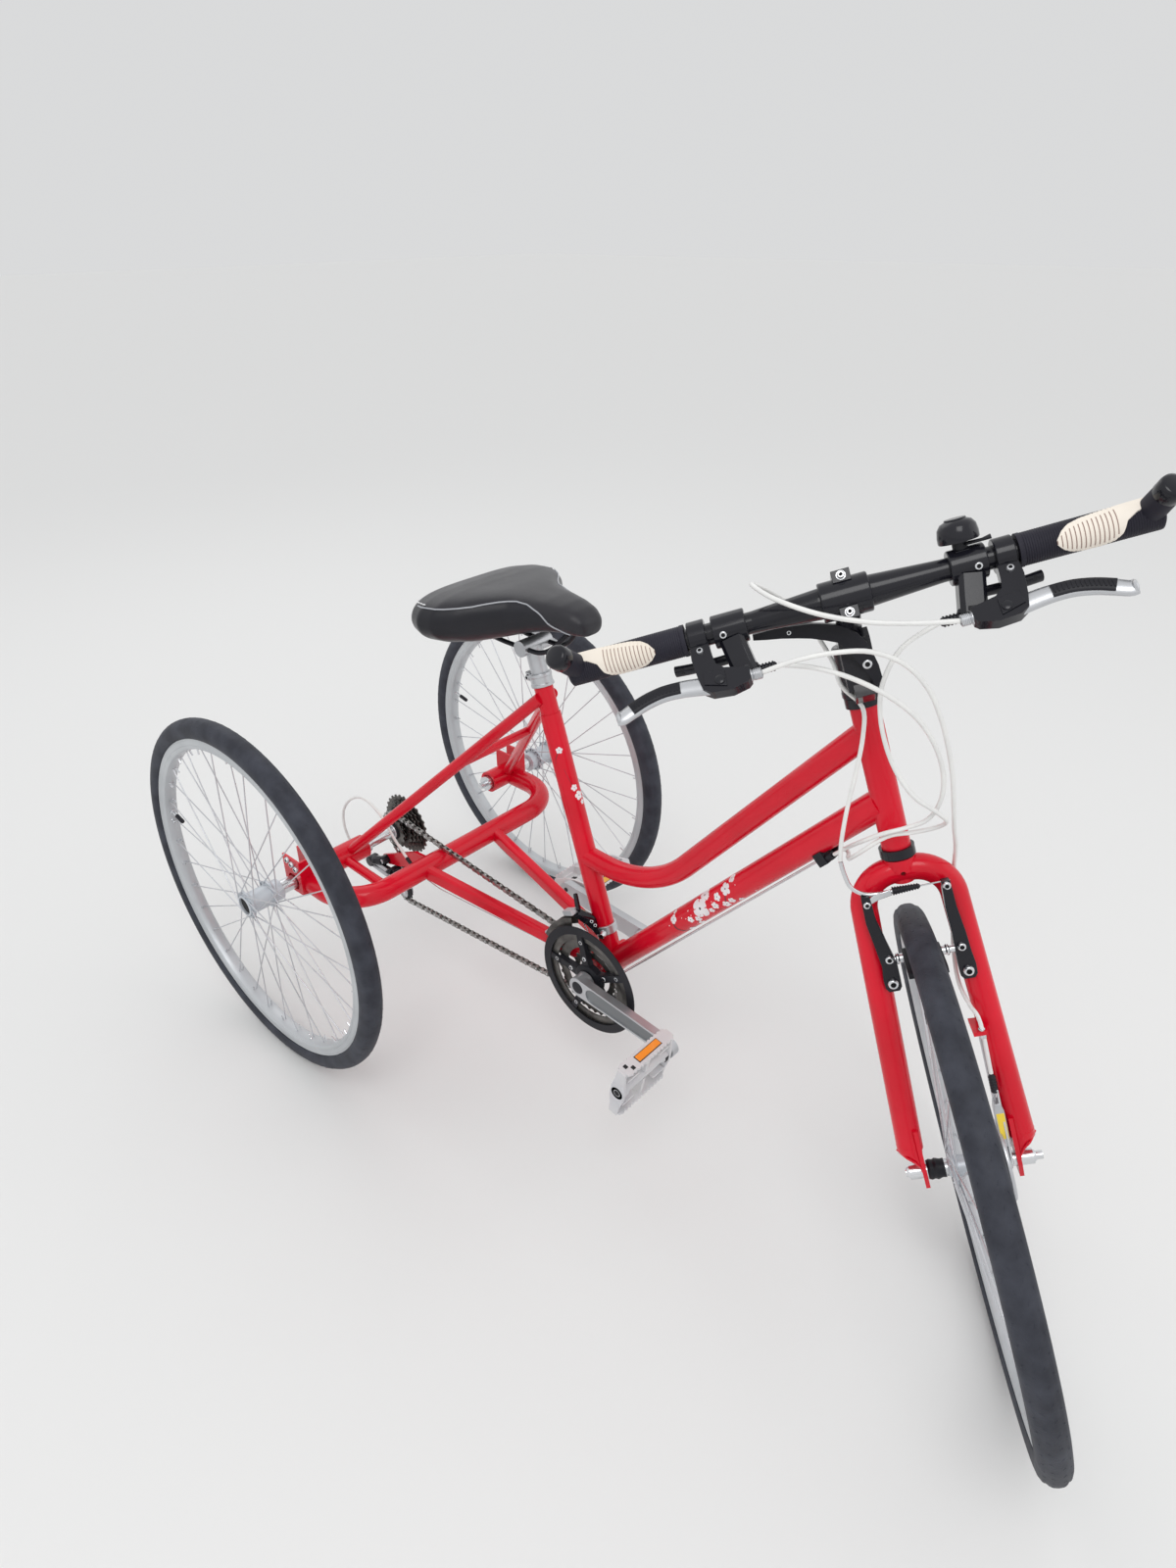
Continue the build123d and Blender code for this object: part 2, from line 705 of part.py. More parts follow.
# Fork: two blades bowed out from the crown, plates for the axle, the steerer and a tab for the drum brake
dropout_high = 62.0
dropout_low = 20.0
steerer_top = stem_top - 8
crown_race = crown_height + blade_radius + 0.5
crown_hole_radius = 3.0
tab_height = 175.0
tab_thickness = 5.0
tab_reach = 54.0
tab_inner_y = 34.0
with BuildPart() as fork:
    for points in blade_bends:
        bent_rod(points, [blade_bend], blade_radius)
    for side in [-1, 1]:
        plate_right = side * dropout_y - dropout_thickness / 2
        plate_plane = Plane(origin=turned(0, plate_right + dropout_thickness, 0), x_dir=forward_turned, z_dir=-left_turned)
        with BuildSketch(plate_plane):
            Polygon(
                (foot_reach - 14, dropout_high),
                (foot_reach + 14, dropout_high),
                (fork_rake + 13, 0),
                (fork_rake + 8, -dropout_low),
                (fork_rake - 8, -dropout_low),
                (fork_rake - 13, 0),
                align=None,
            )
        extrude(amount=dropout_thickness)
    blade_at_tab = (crown_height - tab_height) / (crown_height - blade_foot_height)
    tab_blade_n = foot_reach * blade_at_tab
    tab_blade_y = blade_top_y + (blade_foot_y - blade_top_y) * blade_at_tab
    with BuildSketch(Plane(origin=turned(0, 0, tab_height), x_dir=forward_turned, z_dir=axis_up)):
        Polygon(
            (tab_blade_n, tab_blade_y),
            (tab_blade_n - 2, tab_inner_y),
            (tab_reach, tab_inner_y),
            (tab_reach, tab_inner_y + 14),
            align=None,
        )
    extrude(amount=tab_thickness)
    rod(turned(0, 0, crown_height - 14), turned(0, 0, steerer_top), steerer_radius)
    rod(turned(0, 0, crown_height), turned(0, 0, crown_race), cup_radius - 2)
    disc(front_plane, -90, 90, front_pin_radius, Mode.SUBTRACT)
    rod(turned(-30, 0, crown_height), turned(30, 0, crown_height), crown_hole_radius, Mode.SUBTRACT)
    rod(turned(50, 44, tab_height - 20), turned(50, 44, tab_height + 20), housing_size + 0.3, Mode.SUBTRACT)
fork.part.label = "fork"
export_step(fork.part, "parts/fork.step")

# Front axle with its nuts and cones
nut_radius = 9.0
nut_length = 15.0
axle_right_end = 76.0
axle_left_end = 82.0
dropout_outer = dropout_y + dropout_thickness / 2
dropout_inner = dropout_y - dropout_thickness / 2
plate_outer = drum_high + 6
with BuildPart() as front_axle:
    disc(front_plane, -axle_right_end, axle_left_end, front_pin_radius)
    disc(front_plane, -dropout_outer - nut_length, -dropout_outer, nut_radius)
    disc(front_plane, dropout_outer, dropout_outer + nut_length, nut_radius)
    disc(front_plane, -dropout_inner, -hub_right_end - 0.5, nut_radius + 1)
    disc(front_plane, plate_outer, dropout_inner, nut_radius)
front_axle.part.label = "front_axle"
export_step(front_axle.part, "parts/front_axle.step")

# Plate of the drum brake, the arm that holds it to the fork's tab, and the cable's adjuster
adjuster_top = 122.0
adjuster_length = 24.0
adjuster_radius = 4.5
with BuildPart() as drum_brake_plate:
    disc(front_plane, drum_high + 1, plate_outer, drum_radius)
    arm_plane = Plane(origin=turned(0, plate_outer - 1.5, 0), x_dir=forward_turned, z_dir=-left_turned)
    with BuildSketch(arm_plane):
        Polygon((fork_rake - 14, 0), (fork_rake + 12, 0), (36, tab_height - 0.3), (24, tab_height - 0.3), align=None)
        Polygon((fork_rake - 4, 20), (fork_rake + 8, 20), (54, adjuster_top - 2), (46, adjuster_top - 2), align=None)
    extrude(amount=3)
    rod(turned(50, 44, adjuster_top - adjuster_length), turned(50, 44, adjuster_top), adjuster_radius)
    disc(front_plane, drum_high, plate_outer + 10, front_pin_radius, Mode.SUBTRACT)
drum_brake_plate.part.label = "drum_brake_plate"
export_step(drum_brake_plate.part, "parts/drum_brake_plate.step")

# Arms of the rim brake, on bosses of the fork: boss and top, left of the middle
pad_gap = 2.0
pad_radius = 4.5
pad_half_length = 28.0
pad_height = 277.0
arm_radius = 6.0
brake_sides = [(-39.0, -47.0, -1), (45.0, 41.0, 1)]
with BuildPart() as brake_arms:
    for boss_y, top_y, side in brake_sides:
        pad_y = side * (rim_half_width + pad_gap + pad_radius)
        rod(turned(20, boss_y, boss_height), turned(boss_reach + 8, boss_y, boss_height), arm_radius + 1)
        rod(turned(boss_reach, boss_y, boss_height - 6), turned(boss_reach, top_y, arm_top_height), arm_radius)
        rod(turned(boss_reach, boss_y, pad_height - 5), turned(boss_reach, pad_y, pad_height), arm_radius - 1)
        rod(turned(fork_rake - pad_half_length, pad_y, pad_height), turned(fork_rake + pad_half_length, pad_y, pad_height), pad_radius)
    cut_blades()
brake_arms.part.label = "brake_arms"
export_step(brake_arms.part, "parts/brake_arms.step")

# Noodle, boot and wire that pull the two arms together
noodle_height = arm_top_height + housing_size + 3
noodle_points = [
    turned(34, -64, noodle_height + 47.8),
    turned(boss_reach + 1, -62, noodle_height + 22),
    turned(boss_reach, -46, noodle_height),
    turned(boss_reach, -16, noodle_height - 1),
]
with BuildPart() as brake_noodle:
    cable("brake_noodle", noodle_points, housing_size)
    rod(turned(boss_reach, -17, noodle_height - 1), turned(boss_reach, 14, noodle_height - 1), housing_size + 2.5)
    rod(turned(boss_reach, 12, noodle_height - 1), turned(boss_reach, brake_sides[1][1] + 4, noodle_height - 1), wire_size)
    for boss_y, top_y, side in brake_sides:
        rod(turned(boss_reach, top_y, arm_top_height + 0.3), turned(boss_reach, top_y, noodle_height), 3)
brake_noodle.part.label = "brake_noodle"
export_step(brake_noodle.part, "parts/brake_noodle.step")

# Stem: a clamp on the steerer, an arm out to the handlebar and the lever's body below the arm
cam_reach = 14.0
cam_front = 58.0
with BuildPart() as stem:
    rod(turned(0, 0, stem_low), turned(0, 0, stem_top), stem_radius)
    rod(turned(0, 0, stem_top - 18), turned(bar_reach, 0, bar_height), 13)
    rod(turned(bar_reach, -clamp_half_length, bar_height), turned(bar_reach, clamp_half_length, bar_height), clamp_radius)
    with BuildSketch(Plane(origin=turned(cam_reach, 0, 0), x_dir=left_turned, z_dir=forward_turned)):
        Polygon((-15, 600), (17, 600), (17, 650), (-15, 655), align=None)
    extrude(amount=cam_front - cam_reach)
    cut_bar()
    rod(turned(0, 0, stem_low - 5), turned(0, 0, steerer_top), steerer_radius, Mode.SUBTRACT)
stem.part.label = "stem"
export_step(stem.part, "parts/stem.step")

# Handlebar, thick in the middle
with BuildPart() as handlebar:
    build_bar()
handlebar.part.label = "handlebar"
export_step(handlebar.part, "parts/handlebar.step")

# Lever of the stem, its tip out to the right and its end down behind the cam
lever_points = [(-96, 684, 6), (-68, 681, 11), (-38, 675, 15), (-10, 664, 18), (4, 645, 19), (12, 623, 14), (16, 606, 8)]
lever_width = 12.0
with BuildPart() as stem_lever:
    upper_edge = [(y, s + size / 2) for y, s, size in lever_points[:4]]
    upper_edge += [(y + size / 2, s + size / 3) for y, s, size in lever_points[4:]]
    lower_edge = [(y, s - size / 2) for y, s, size in lever_points[:4]]
    lower_edge += [(y - size / 2, s - size / 3) for y, s, size in lever_points[4:]]
    with BuildSketch(Plane(origin=turned(cam_front, 0, 0), x_dir=left_turned, z_dir=forward_turned)):
        Polygon(*(upper_edge + lower_edge[::-1]), align=None)
    extrude(amount=lever_width)
    rod(turned(0, 0, stem_top - 18), turned(bar_reach, 0, bar_height), 13, Mode.SUBTRACT)
stem_lever.part.label = "stem_lever"
export_step(stem_lever.part, "parts/stem_lever.step")

# Grips with short horns at their ends
horn_radius = 13.0
with BuildPart() as grips:
    for side in [-1, 1]:
        grip_inner = turned(bar_reach, side * grip_start_y, bar_height)
        grip_outer = turned(bar_reach, side * grip_end_y, bar_height)
        rod(grip_inner, grip_outer, grip_radius)
        horn_low = turned(bar_reach, side * (grip_end_y - horn_radius), bar_height)
        rod(horn_low, turned(bar_reach + 35, side * (grip_end_y + 3), bar_height + 25), horn_radius)
        rod(grip_inner, turned(bar_reach, side * bar_half_length, bar_height), bar_radius, Mode.SUBTRACT)
grips.part.label = "grips"
export_step(grips.part, "parts/grips.step")

# Perches of the brake levers: a band on the bar and a flat body down to the lever's pivot
perch_run = (turned(lever_reach, 0, lever_height) - turned(bar_reach, 0, bar_height)).normalized()
perch_radius = 17.0
perch_half_width = 9.0
perch_thickness = 14.0
barrel_y = perch_y - 44
barrel_length = 9.0
perch_outline = [(-9, 6), (9, 6), (10, 30), (4, 70), (-24, 74), (-44, 68), (-44, 52), (-20, 47), (-11, 36)]
lever_line = (0, 60)


def perch_point(side, out, down):
    """A point in the plane of a brake lever: outboard of its perch, and down from the bar."""
    return turned(bar_reach, side * (perch_y + out), bar_height) + perch_run * down


def build_perches(mode=Mode.ADD):
    for side in [-1, 1]:
        rod(perch_point(side, -perch_half_width, 0), perch_point(side, perch_half_width, 0), perch_radius, mode)
        with BuildSketch(
            Plane(origin=perch_point(side, 0, 0), x_dir=left_turned * side, z_dir=(left_turned * side).cross(perch_run)),
            mode=Mode.PRIVATE,
        ) as body:
            Polygon(*perch_outline, align=None)
        extrude(body.sketch, amount=perch_thickness / 2, both=True, mode=mode)
        rod(perch_point(side, -44, 60), perch_point(side, -44 - barrel_length, 60), 6, mode)


with BuildPart() as brake_perches:
    build_perches()
    cut_bar()
brake_perches.part.label = "brake_perches"
export_step(brake_perches.part, "parts/brake_perches.step")

# Blades of the brake levers
blade_line = [(-4, 62), (44, 56), (92, 72)]
with BuildPart() as brake_levers:
    for side in [-1, 1]:
        points = [perch_point(side, out, down) for out, down in blade_line]
        bent_rod(points, cable_bends(points), 5.5)
    build_perches(Mode.SUBTRACT)
brake_levers.part.label = "brake_levers"
export_step(brake_levers.part, "parts/brake_levers.step")

# Shifters beside the brake levers: a band on the bar, a pod below it and a thumb lever
pod_radius = 15.0
with BuildPart() as shifters:
    for side in [-1, 1]:
        rod(turned(bar_reach, side * 98, bar_height), turned(bar_reach, side * 132, bar_height), pod_radius + 2)
        rod(turned(bar_reach + 6, side * 115, bar_height - 10), turned(bar_reach + 22, side * 108, bar_height - 46), pod_radius)
        rod(turned(bar_reach + 6, side * 112, bar_height - 28), turned(bar_reach - 8, side * 180, bar_height - 30), 5)
        rod(turned(bar_reach + 22, side * 104, bar_height - 44), turned(bar_reach + 22, side * 78, bar_height - 44), 5)
    cut_bar()
    build_perches(Mode.SUBTRACT)
shifters.part.label = "shifters"
export_step(shifters.part, "parts/shifters.step")

# Bell on the left shifter's band
bell_y = 112.0
bell_radius = 19.0
bell_height = 22.0
with BuildPart() as bell:
    rod(turned(bar_reach, bell_y, bar_height + 12), turned(bar_reach, bell_y, bar_height + 24), 7)
    rod(turned(bar_reach, bell_y, bar_height + 23), turned(bar_reach, bell_y, bar_height + 23 + bell_height), bell_radius)
    fillet(bell.part.edges().filter_by(GeomType.CIRCLE).sort_by(Axis(axis_foot, axis_up))[-1], 6)
    rod(turned(bar_reach, 98, bar_height), turned(bar_reach, 132, bar_height), pod_radius + 2, Mode.SUBTRACT)
bell.part.label = "bell"
export_step(bell.part, "parts/bell.step")

# Cables of the brakes, points carried by the steering
front_brake_points = [
    (129, 94.3, 658.2),
    (131, 55, 667),
    (130, 12, 680),
    (126, -30, 699),
    (112, -66, 722),
    (84, -84, 738),
    (56, -70, 724),
    (44, -46, 696),
    (38, -32, 662),
    (34, -23, 630),
    (33, -20, 604),
    (31, -4, 576),
    (34, -10, 546),
    (37, -26, 508),
    (39, -44, 470),
    (38, -58, 434),
    (34, -64, 410.5),
]
with BuildPart() as front_brake_cable:
    cable("front_brake_cable", [turned(*point) for point in front_brake_points], housing_size)
front_brake_cable.part.label = "front_brake_cable"
export_step(front_brake_cable.part, "parts/front_brake_cable.step")

drum_brake_points = [
    (129, -94.3, 658.2),
    (133, -60, 662),
    (133, -24, 660),
    (129, 10, 651),
    (118, 38, 629),
    (104, 56, 597),
    (90, 64, 561),
    (76, 67, 524),
    (62, 67, 487),
    (48, 64, 450),
    (30, 62, 418),
    (8, 62, 388),
    (-12, 58, 356),
    (-18, 52, 320),
    (-16, 44, 284),
    (-6, 37, 250),
    (12, 34, 222),
    (36, 38, 206),
    (50, 44, 190),
    (50, 44, 122.3),
]
with BuildPart() as drum_brake_cable:
    cable("drum_brake_cable", [turned(*point) for point in drum_brake_points], housing_size)
drum_brake_cable.part.label = "drum_brake_cable"
export_step(drum_brake_cable.part, "parts/drum_brake_cable.step")

# Cables of the shifters: from the bar round the head tube to the stop on the down tube
right_shift_points = [
    (110, -76.8, 658),
    (118, -45, 648),
    (120, -14, 630),
    (114, 16, 603),
    (100, 40, 570),
    (82, 54, 532),
    (66, 58, 494),
    (52, 52, 462),
    (42, 36, 440),
    (38, 12, 434),
    (36, -14, 432),
]
left_shift_points = [
    (110, 76.8, 658),
    (103, 40, 642),
    (96, 16, 610),
    (88, 8, 576),
    (76, 8, 540),
    (64, 14, 504),
    (60, 26, 474),
    (56, 44, 452),
    (44, 54, 434),
    (30, 44, 424),
    (30, 18, 424),
    (32, -10, 426),
]
mouth_tip = stop_centre + down_under * mouth_drop + down_run * (mouth_length + 1.7)
right_shift_ends = [at(878, -34, 668), at(858, -14, 643)]
left_shift_ends = [at(882, -42, 657), at(866, -22, 636), at(854.5, 0, 629)]
for name, points, ends, side in [
    ("shift_cable_right", right_shift_points, right_shift_ends, -1),
    ("shift_cable_left", left_shift_points, left_shift_ends, 1),
]:
    tip = mouth_tip + Vector(0, side * mouth_y, 0)
    with BuildPart() as shift_cable:
        route = [turned(*point) for point in points] + ends + [tip]
        cable(name, route, housing_size)
    shift_cable.part.label = name
    export_step(shift_cable.part, "parts/" + name + ".step")

# Chainrings on a spider of five arms, with the guard outside them
ring_y = [chain_y - number * ring_spacing for number in range(len(ring_teeth))]
guard_y = ring_y[-1] - guard_gap
spider_high = chain_y - chain_width / 2 - 1.5
spider_radius = 26.0
spider_arm_width = 13.0
ring_width = 14.0
# The arms thin past the middle ring, so the front derailleur's cage stays clear
arm_steps = [(spider_high, pitch_radius(ring_teeth[1]) - 4), (ring_y[-1] + 0.5, guard_radius - guard_width / 2)]
crank_plane = Plane(origin=bracket, x_dir=(1, 0, 0), z_dir=(0, -1, 0))


def ring(plane, middle, thickness, outer, inner):
    """A flat ring on a shaft, its distance measured along the plane's normal."""
    with BuildSketch(plane.offset(middle - thickness / 2), mode=Mode.PRIVATE) as flat:
        Circle(outer)
        Circle(inner, mode=Mode.SUBTRACT)
    extrude(flat.sketch, amount=thickness)


with BuildPart() as chainrings:
    for place, teeth in zip(ring_y, ring_teeth):
        outer = pitch_radius(teeth) - chain_seat if teeth == ring_teeth[0] else pitch_radius(teeth) + 2.5
        ring(crank_plane, -place, ring_thickness, outer, outer - ring_width)
    ring(crank_plane, -guard_y, 2, guard_radius, guard_radius - guard_width)
    rod(bracket + Vector(0, chain_y + 2, 0), bracket + Vector(0, -crank_hub_y, 0), 16)
    rod(bracket + Vector(0, spider_high, 0), bracket + Vector(0, guard_y - 1, 0), spider_radius)
    for number in range(5):
        arm_way = Vector(math.cos(math.radians(72 * number + 31)), 0, math.sin(math.radians(72 * number + 31)))
        for high, reach in arm_steps:
            arm_origin = bracket + Vector(0, (high + guard_y - 1) / 2, 0)
            with BuildSketch(Plane(origin=arm_origin, x_dir=(0, 1, 0), z_dir=arm_way)):
                Rectangle(high - guard_y + 1, spider_arm_width)
            extrude(amount=reach)
        boss = bracket + arm_way * (pitch_radius(ring_teeth[0]) - chain_seat - 7)
        rod(boss + Vector(0, chain_y, 0), boss + Vector(0, guard_y, 0), 5)
    rod(bracket, bracket + Vector(0, -crank_hub_y - 1, 0), spindle_radius, Mode.SUBTRACT)
chainrings.part.label = "chainrings"
export_step(chainrings.part, "parts/chainrings.step")

# Cranks with the pedals' pins; the left one carries the spindle
crank_way = Vector(math.cos(math.radians(crank_fall)), 0, math.sin(math.radians(crank_fall)))
crank_hub_radius = 17.0
crank_eye_radius = 14.0
crank_hub_length = 22.0
spindle_end = crank_hub_y + 8
pedal_inner = crank_hub_y + crank_hub_length + 3
pedal_outer = pedal_inner + pedal_width
pedal_leans = [("right", -1, 80.0), ("left", 1, 18.0)]
for name, side, pedal_lean in pedal_leans:
    crank_eye = bracket - crank_way * side * crank_length
    with BuildPart() as crank:
        hub_inner = crank_hub_y if side < 0 else crank_hub_y - 10
        hub_end = bracket + Vector(0, side * (crank_hub_y + crank_hub_length), 0)
        rod(bracket + Vector(0, side * hub_inner, 0), hub_end, crank_hub_radius)
        arm_middle = side * (crank_hub_y + crank_hub_length - crank_thickness / 2)
        arm_plane = Plane(origin=bracket + Vector(0, arm_middle, 0), x_dir=(0, 1, 0), z_dir=crank_eye - bracket)
        with BuildSketch(arm_plane):
            RectangleRounded(crank_thickness, 33, 4)
        with BuildSketch(arm_plane.offset(crank_length)):
            RectangleRounded(crank_thickness, 27, 4)
        loft()
        eye_low = crank_eye + Vector(0, arm_middle - crank_thickness / 2, 0)
        rod(eye_low, eye_low + Vector(0, crank_thickness, 0), crank_eye_radius)
        rod(crank_eye + Vector(0, arm_middle, 0), crank_eye + Vector(0, side * (pedal_outer - 4), 0), pedal_pin_radius)
        if side < 0:
            rod(bracket, bracket + Vector(0, -spindle_end, 0), spindle_radius, Mode.SUBTRACT)
        else:
            rod(bracket + Vector(0, -spindle_end, 0), hub_end, spindle_radius)
    crank.part.label = "crank_" + name
    export_step(crank.part, "parts/crank_" + name + ".step")
    with BuildPart() as pedal:
        pedal_middle = crank_eye + Vector(0, side * (pedal_inner + pedal_outer) / 2, 0)
        with Locations(Location(pedal_middle, (0, -pedal_lean, 0))):
            Box(pedal_length, pedal_width, pedal_height)
            Box(pedal_length - 12, pedal_width - 14, pedal_height, mode=Mode.SUBTRACT)
            Box(pedal_length, 7, pedal_height - 8)
        rod(crank_eye + Vector(0, side * pedal_inner, 0), crank_eye + Vector(0, side * pedal_outer, 0), pedal_height / 2)
        pin_end = crank_eye + Vector(0, side * (pedal_outer + 10), 0)
        rod(crank_eye + Vector(0, side * 80, 0), pin_end, pedal_pin_radius + running_gap, Mode.SUBTRACT)
    pedal.part.label = "pedal_" + name
    export_step(pedal.part, "parts/pedal_" + name + ".step")

# Sprockets on a carrier that runs on the right axle
chain_sprocket = 1
with BuildPart() as cassette:
    rod(axle(-56), axle(-18), 17)
    for number, teeth in enumerate(sprocket_teeth):
        place = chain_y + sprocket_spacing * (number - chain_sprocket)
        edge = pitch_radius(teeth) - chain_seat if number == chain_sprocket else pitch_radius(teeth) + 2
        rod(axle(place - sprocket_thickness / 2), axle(place + sprocket_thickness / 2), edge)
    rod(axle(-60), axle(-10), axle_radius + 2 * running_gap, Mode.SUBTRACT)
cassette.part.label = "cassette"
export_step(cassette.part, "parts/cassette.step")

# Chain: one closed loop round the ring, the sprocket and the two pulleys of the derailleur.
# The cage swings until the loop takes a whole number of links.
guide_x = 5.0
guide_drop = 80.9
cage_length = 54.0
guide_wheel = (guide_x, wheel_radius - guide_drop)


def side_line(first, second):
    """The ends of the straight run from one round to the next, each turning left (1) or right (-1)."""
    (first_x, first_z), first_radius, first_turn = first
    (second_x, second_z), second_radius, second_turn = second
    gap = math.hypot(second_x - first_x, second_z - first_z)
    heading = math.atan2(second_z - first_z, second_x - first_x)
    heading -= math.asin((second_turn * second_radius - first_turn * first_radius) / gap)
    out_x = math.sin(heading)
    out_z = -math.cos(heading)
    start = (first_x + out_x * first_radius * first_turn, first_z + out_z * first_radius * first_turn)
    end = (second_x + out_x * second_radius * second_turn, second_z + out_z * second_radius * second_turn)
    return start, end


def chain_loop(cage_lean):
    """The loop as (start, end, round's middle, radius, arrival, swing) for each run and the arc after it."""
    tension_wheel = (
        guide_wheel[0] + cage_length * math.sin(cage_lean),
        guide_wheel[1] - cage_length * math.cos(cage_lean),
    )
    rounds = [
        ((bracket_x, bracket_z), pitch_radius(ring_teeth[0]), 1),
        ((0.0, wheel_radius), pitch_radius(sprocket_teeth[chain_sprocket]), 1),
        (guide_wheel, pulley_radius, -1),
        (tension_wheel, pulley_radius, 1),
    ]
    runs = [side_line(rounds[number], rounds[(number + 1) % 4]) for number in range(4)]
    pieces = []
    for number in range(4):
        start, end = runs[number]
        leave, beyond = runs[(number + 1) % 4]
        (mid_x, mid_z), radius, turning = rounds[(number + 1) % 4]
        arrival = math.atan2(end[1] - mid_z, end[0] - mid_x)
        swing = (math.atan2(leave[1] - mid_z, leave[0] - mid_x) - arrival) * turning % (2 * math.pi) * turning
        pieces.append((start, end, (mid_x, mid_z), radius, arrival, swing))
    return tension_wheel, pieces


def loop_length(pieces):
    return sum(math.dist(start, end) + radius * abs(swing) for start, end, mid, radius, arrival, swing in pieces)


lean_low = -0.6
lean_high = 0.9
for step in range(40):
    lean = (lean_low + lean_high) / 2
    tension_wheel, pieces = chain_loop(lean)
    if loop_length(pieces) < chain_links * chain_pitch:
        lean_high = lean
    else:
        lean_low = lean
print("chain length in links", round(loop_length(pieces) / chain_pitch, 3), "cage leans", round(math.degrees(lean), 1))


def chain_edge(pieces, side):
    """Corners along one edge of the chain: a wide place at each pin, a narrow one between pins."""
    corners = []
    step = chain_pitch / 2
    along = 0.0
    number = 0
    for start, end, (mid_x, mid_z), radius, arrival, swing in pieces:
        straight = math.dist(start, end)
        total = straight + radius * abs(swing)
        while step * number < along + total - 1e-6:
            reach = (chain_height if number % 2 == 0 else chain_waist) / 2 * side
            here = step * number - along
            if here < straight:
                way_x = (end[0] - start[0]) / straight
                way_z = (end[1] - start[1]) / straight
                x = start[0] + way_x * here
                z = start[1] + way_z * here
            else:
                angle = arrival + math.copysign((here - straight) / radius, swing)
                x = mid_x + radius * math.cos(angle)
                z = mid_z + radius * math.sin(angle)
                way_x = -math.sin(angle) * math.copysign(1, swing)
                way_z = math.cos(angle) * math.copysign(1, swing)
            corners.append((x + way_z * reach, z - way_x * reach))
            number += 1
        along += total
    return corners


with BuildPart() as chain:
    with BuildSketch(Plane(origin=at(0, chain_y + chain_width / 2, 0), x_dir=(1, 0, 0), z_dir=(0, -1, 0))):
        Polygon(*chain_edge(pieces, 1), align=None)
        Polygon(*chain_edge(pieces, -1), align=None, mode=Mode.SUBTRACT)
    extrude(amount=chain_width)
chain.part.label = "chain"
export_step(chain.part, "parts/chain.step")

# Front derailleur: a band on the seat tube and a cage over the chain
band_along = 62.0
band_centre = bracket + seat_up * band_along
strut_low = band_centre + Vector(-10, -10, 0)
strut_high = bracket + Vector(-42, -40.5, 98)
strut_radius = 9.0
with BuildPart() as front_derailleur:
    rod(band_centre - seat_up * 8, band_centre + seat_up * 8, seat_tube_radius + 3)
    rod(strut_low, strut_high, strut_radius)
    rod(bracket, seat_top, seat_tube_radius, Mode.SUBTRACT)
    for place in [-40.0, -54.0]:
        with BuildSketch(Plane(origin=at(bracket_x, place, bracket_z), x_dir=(1, 0, 0), z_dir=(0, -1, 0))):
            Polygon((-96, 34), (-58, 96), (-42, 106), (-36, 98), (-80, 26), align=None)
        extrude(amount=1.6)
    with Locations(Location(at(bracket_x - 45, -47, bracket_z + 103))):
        Box(8, 15, 4)
front_derailleur.part.label = "front_derailleur"
export_step(front_derailleur.part, "parts/front_derailleur.step")

# Rear derailleur: body, cage plates and two pulleys
cage_edge = 11.0
knuckle = (-45.0, -74.0)
with BuildPart() as rear_derailleur:
    eye_x, eye_drop = hanger_eye
    eye_z = wheel_radius + eye_drop
    rod(at(eye_x, hanger_y - hanger_thickness / 2, eye_z), at(eye_x, hanger_y - 16, eye_z), 9)
    rod(at(eye_x, -74, eye_z), at(knuckle[0], -74, wheel_radius + knuckle[1]), 11)
    rod(at(knuckle[0], -74, wheel_radius + knuckle[1]), at(guide_wheel[0], -70, guide_wheel[1]), 7)
    cage_way = Vector(tension_wheel[0] - guide_wheel[0], 0, tension_wheel[1] - guide_wheel[1]).normalized()
    cage_side = cage_way.cross(Vector(0, 1, 0)) * cage_edge
    for place in [chain_y - 7, chain_y + 6]:
        corners = []
        for wheel_place, sign in [(guide_wheel, 1), (guide_wheel, -1), (tension_wheel, -1), (tension_wheel, 1)]:
            corners.append((wheel_place[0] + sign * cage_side.X, -wheel_place[1] - sign * cage_side.Z))
        with BuildSketch(Plane(origin=at(0, place, 0), x_dir=(1, 0, 0), z_dir=(0, 1, 0))):
            Polygon(*corners, align=None)
        extrude(amount=1.0)
    for wheel_x, wheel_z in [guide_wheel, tension_wheel]:
        rod(at(wheel_x, chain_y - 7, wheel_z), at(wheel_x, chain_y + 7, wheel_z), 6)
        rod(at(wheel_x, chain_y - 1, wheel_z), at(wheel_x, chain_y + 1, wheel_z), pulley_radius - chain_seat)
    rod(at(guide_wheel[0], -73, guide_wheel[1]), at(guide_wheel[0], chain_y - 6, guide_wheel[1]), 8)
rear_derailleur.part.label = "rear_derailleur"
export_step(rear_derailleur.part, "parts/rear_derailleur.step")

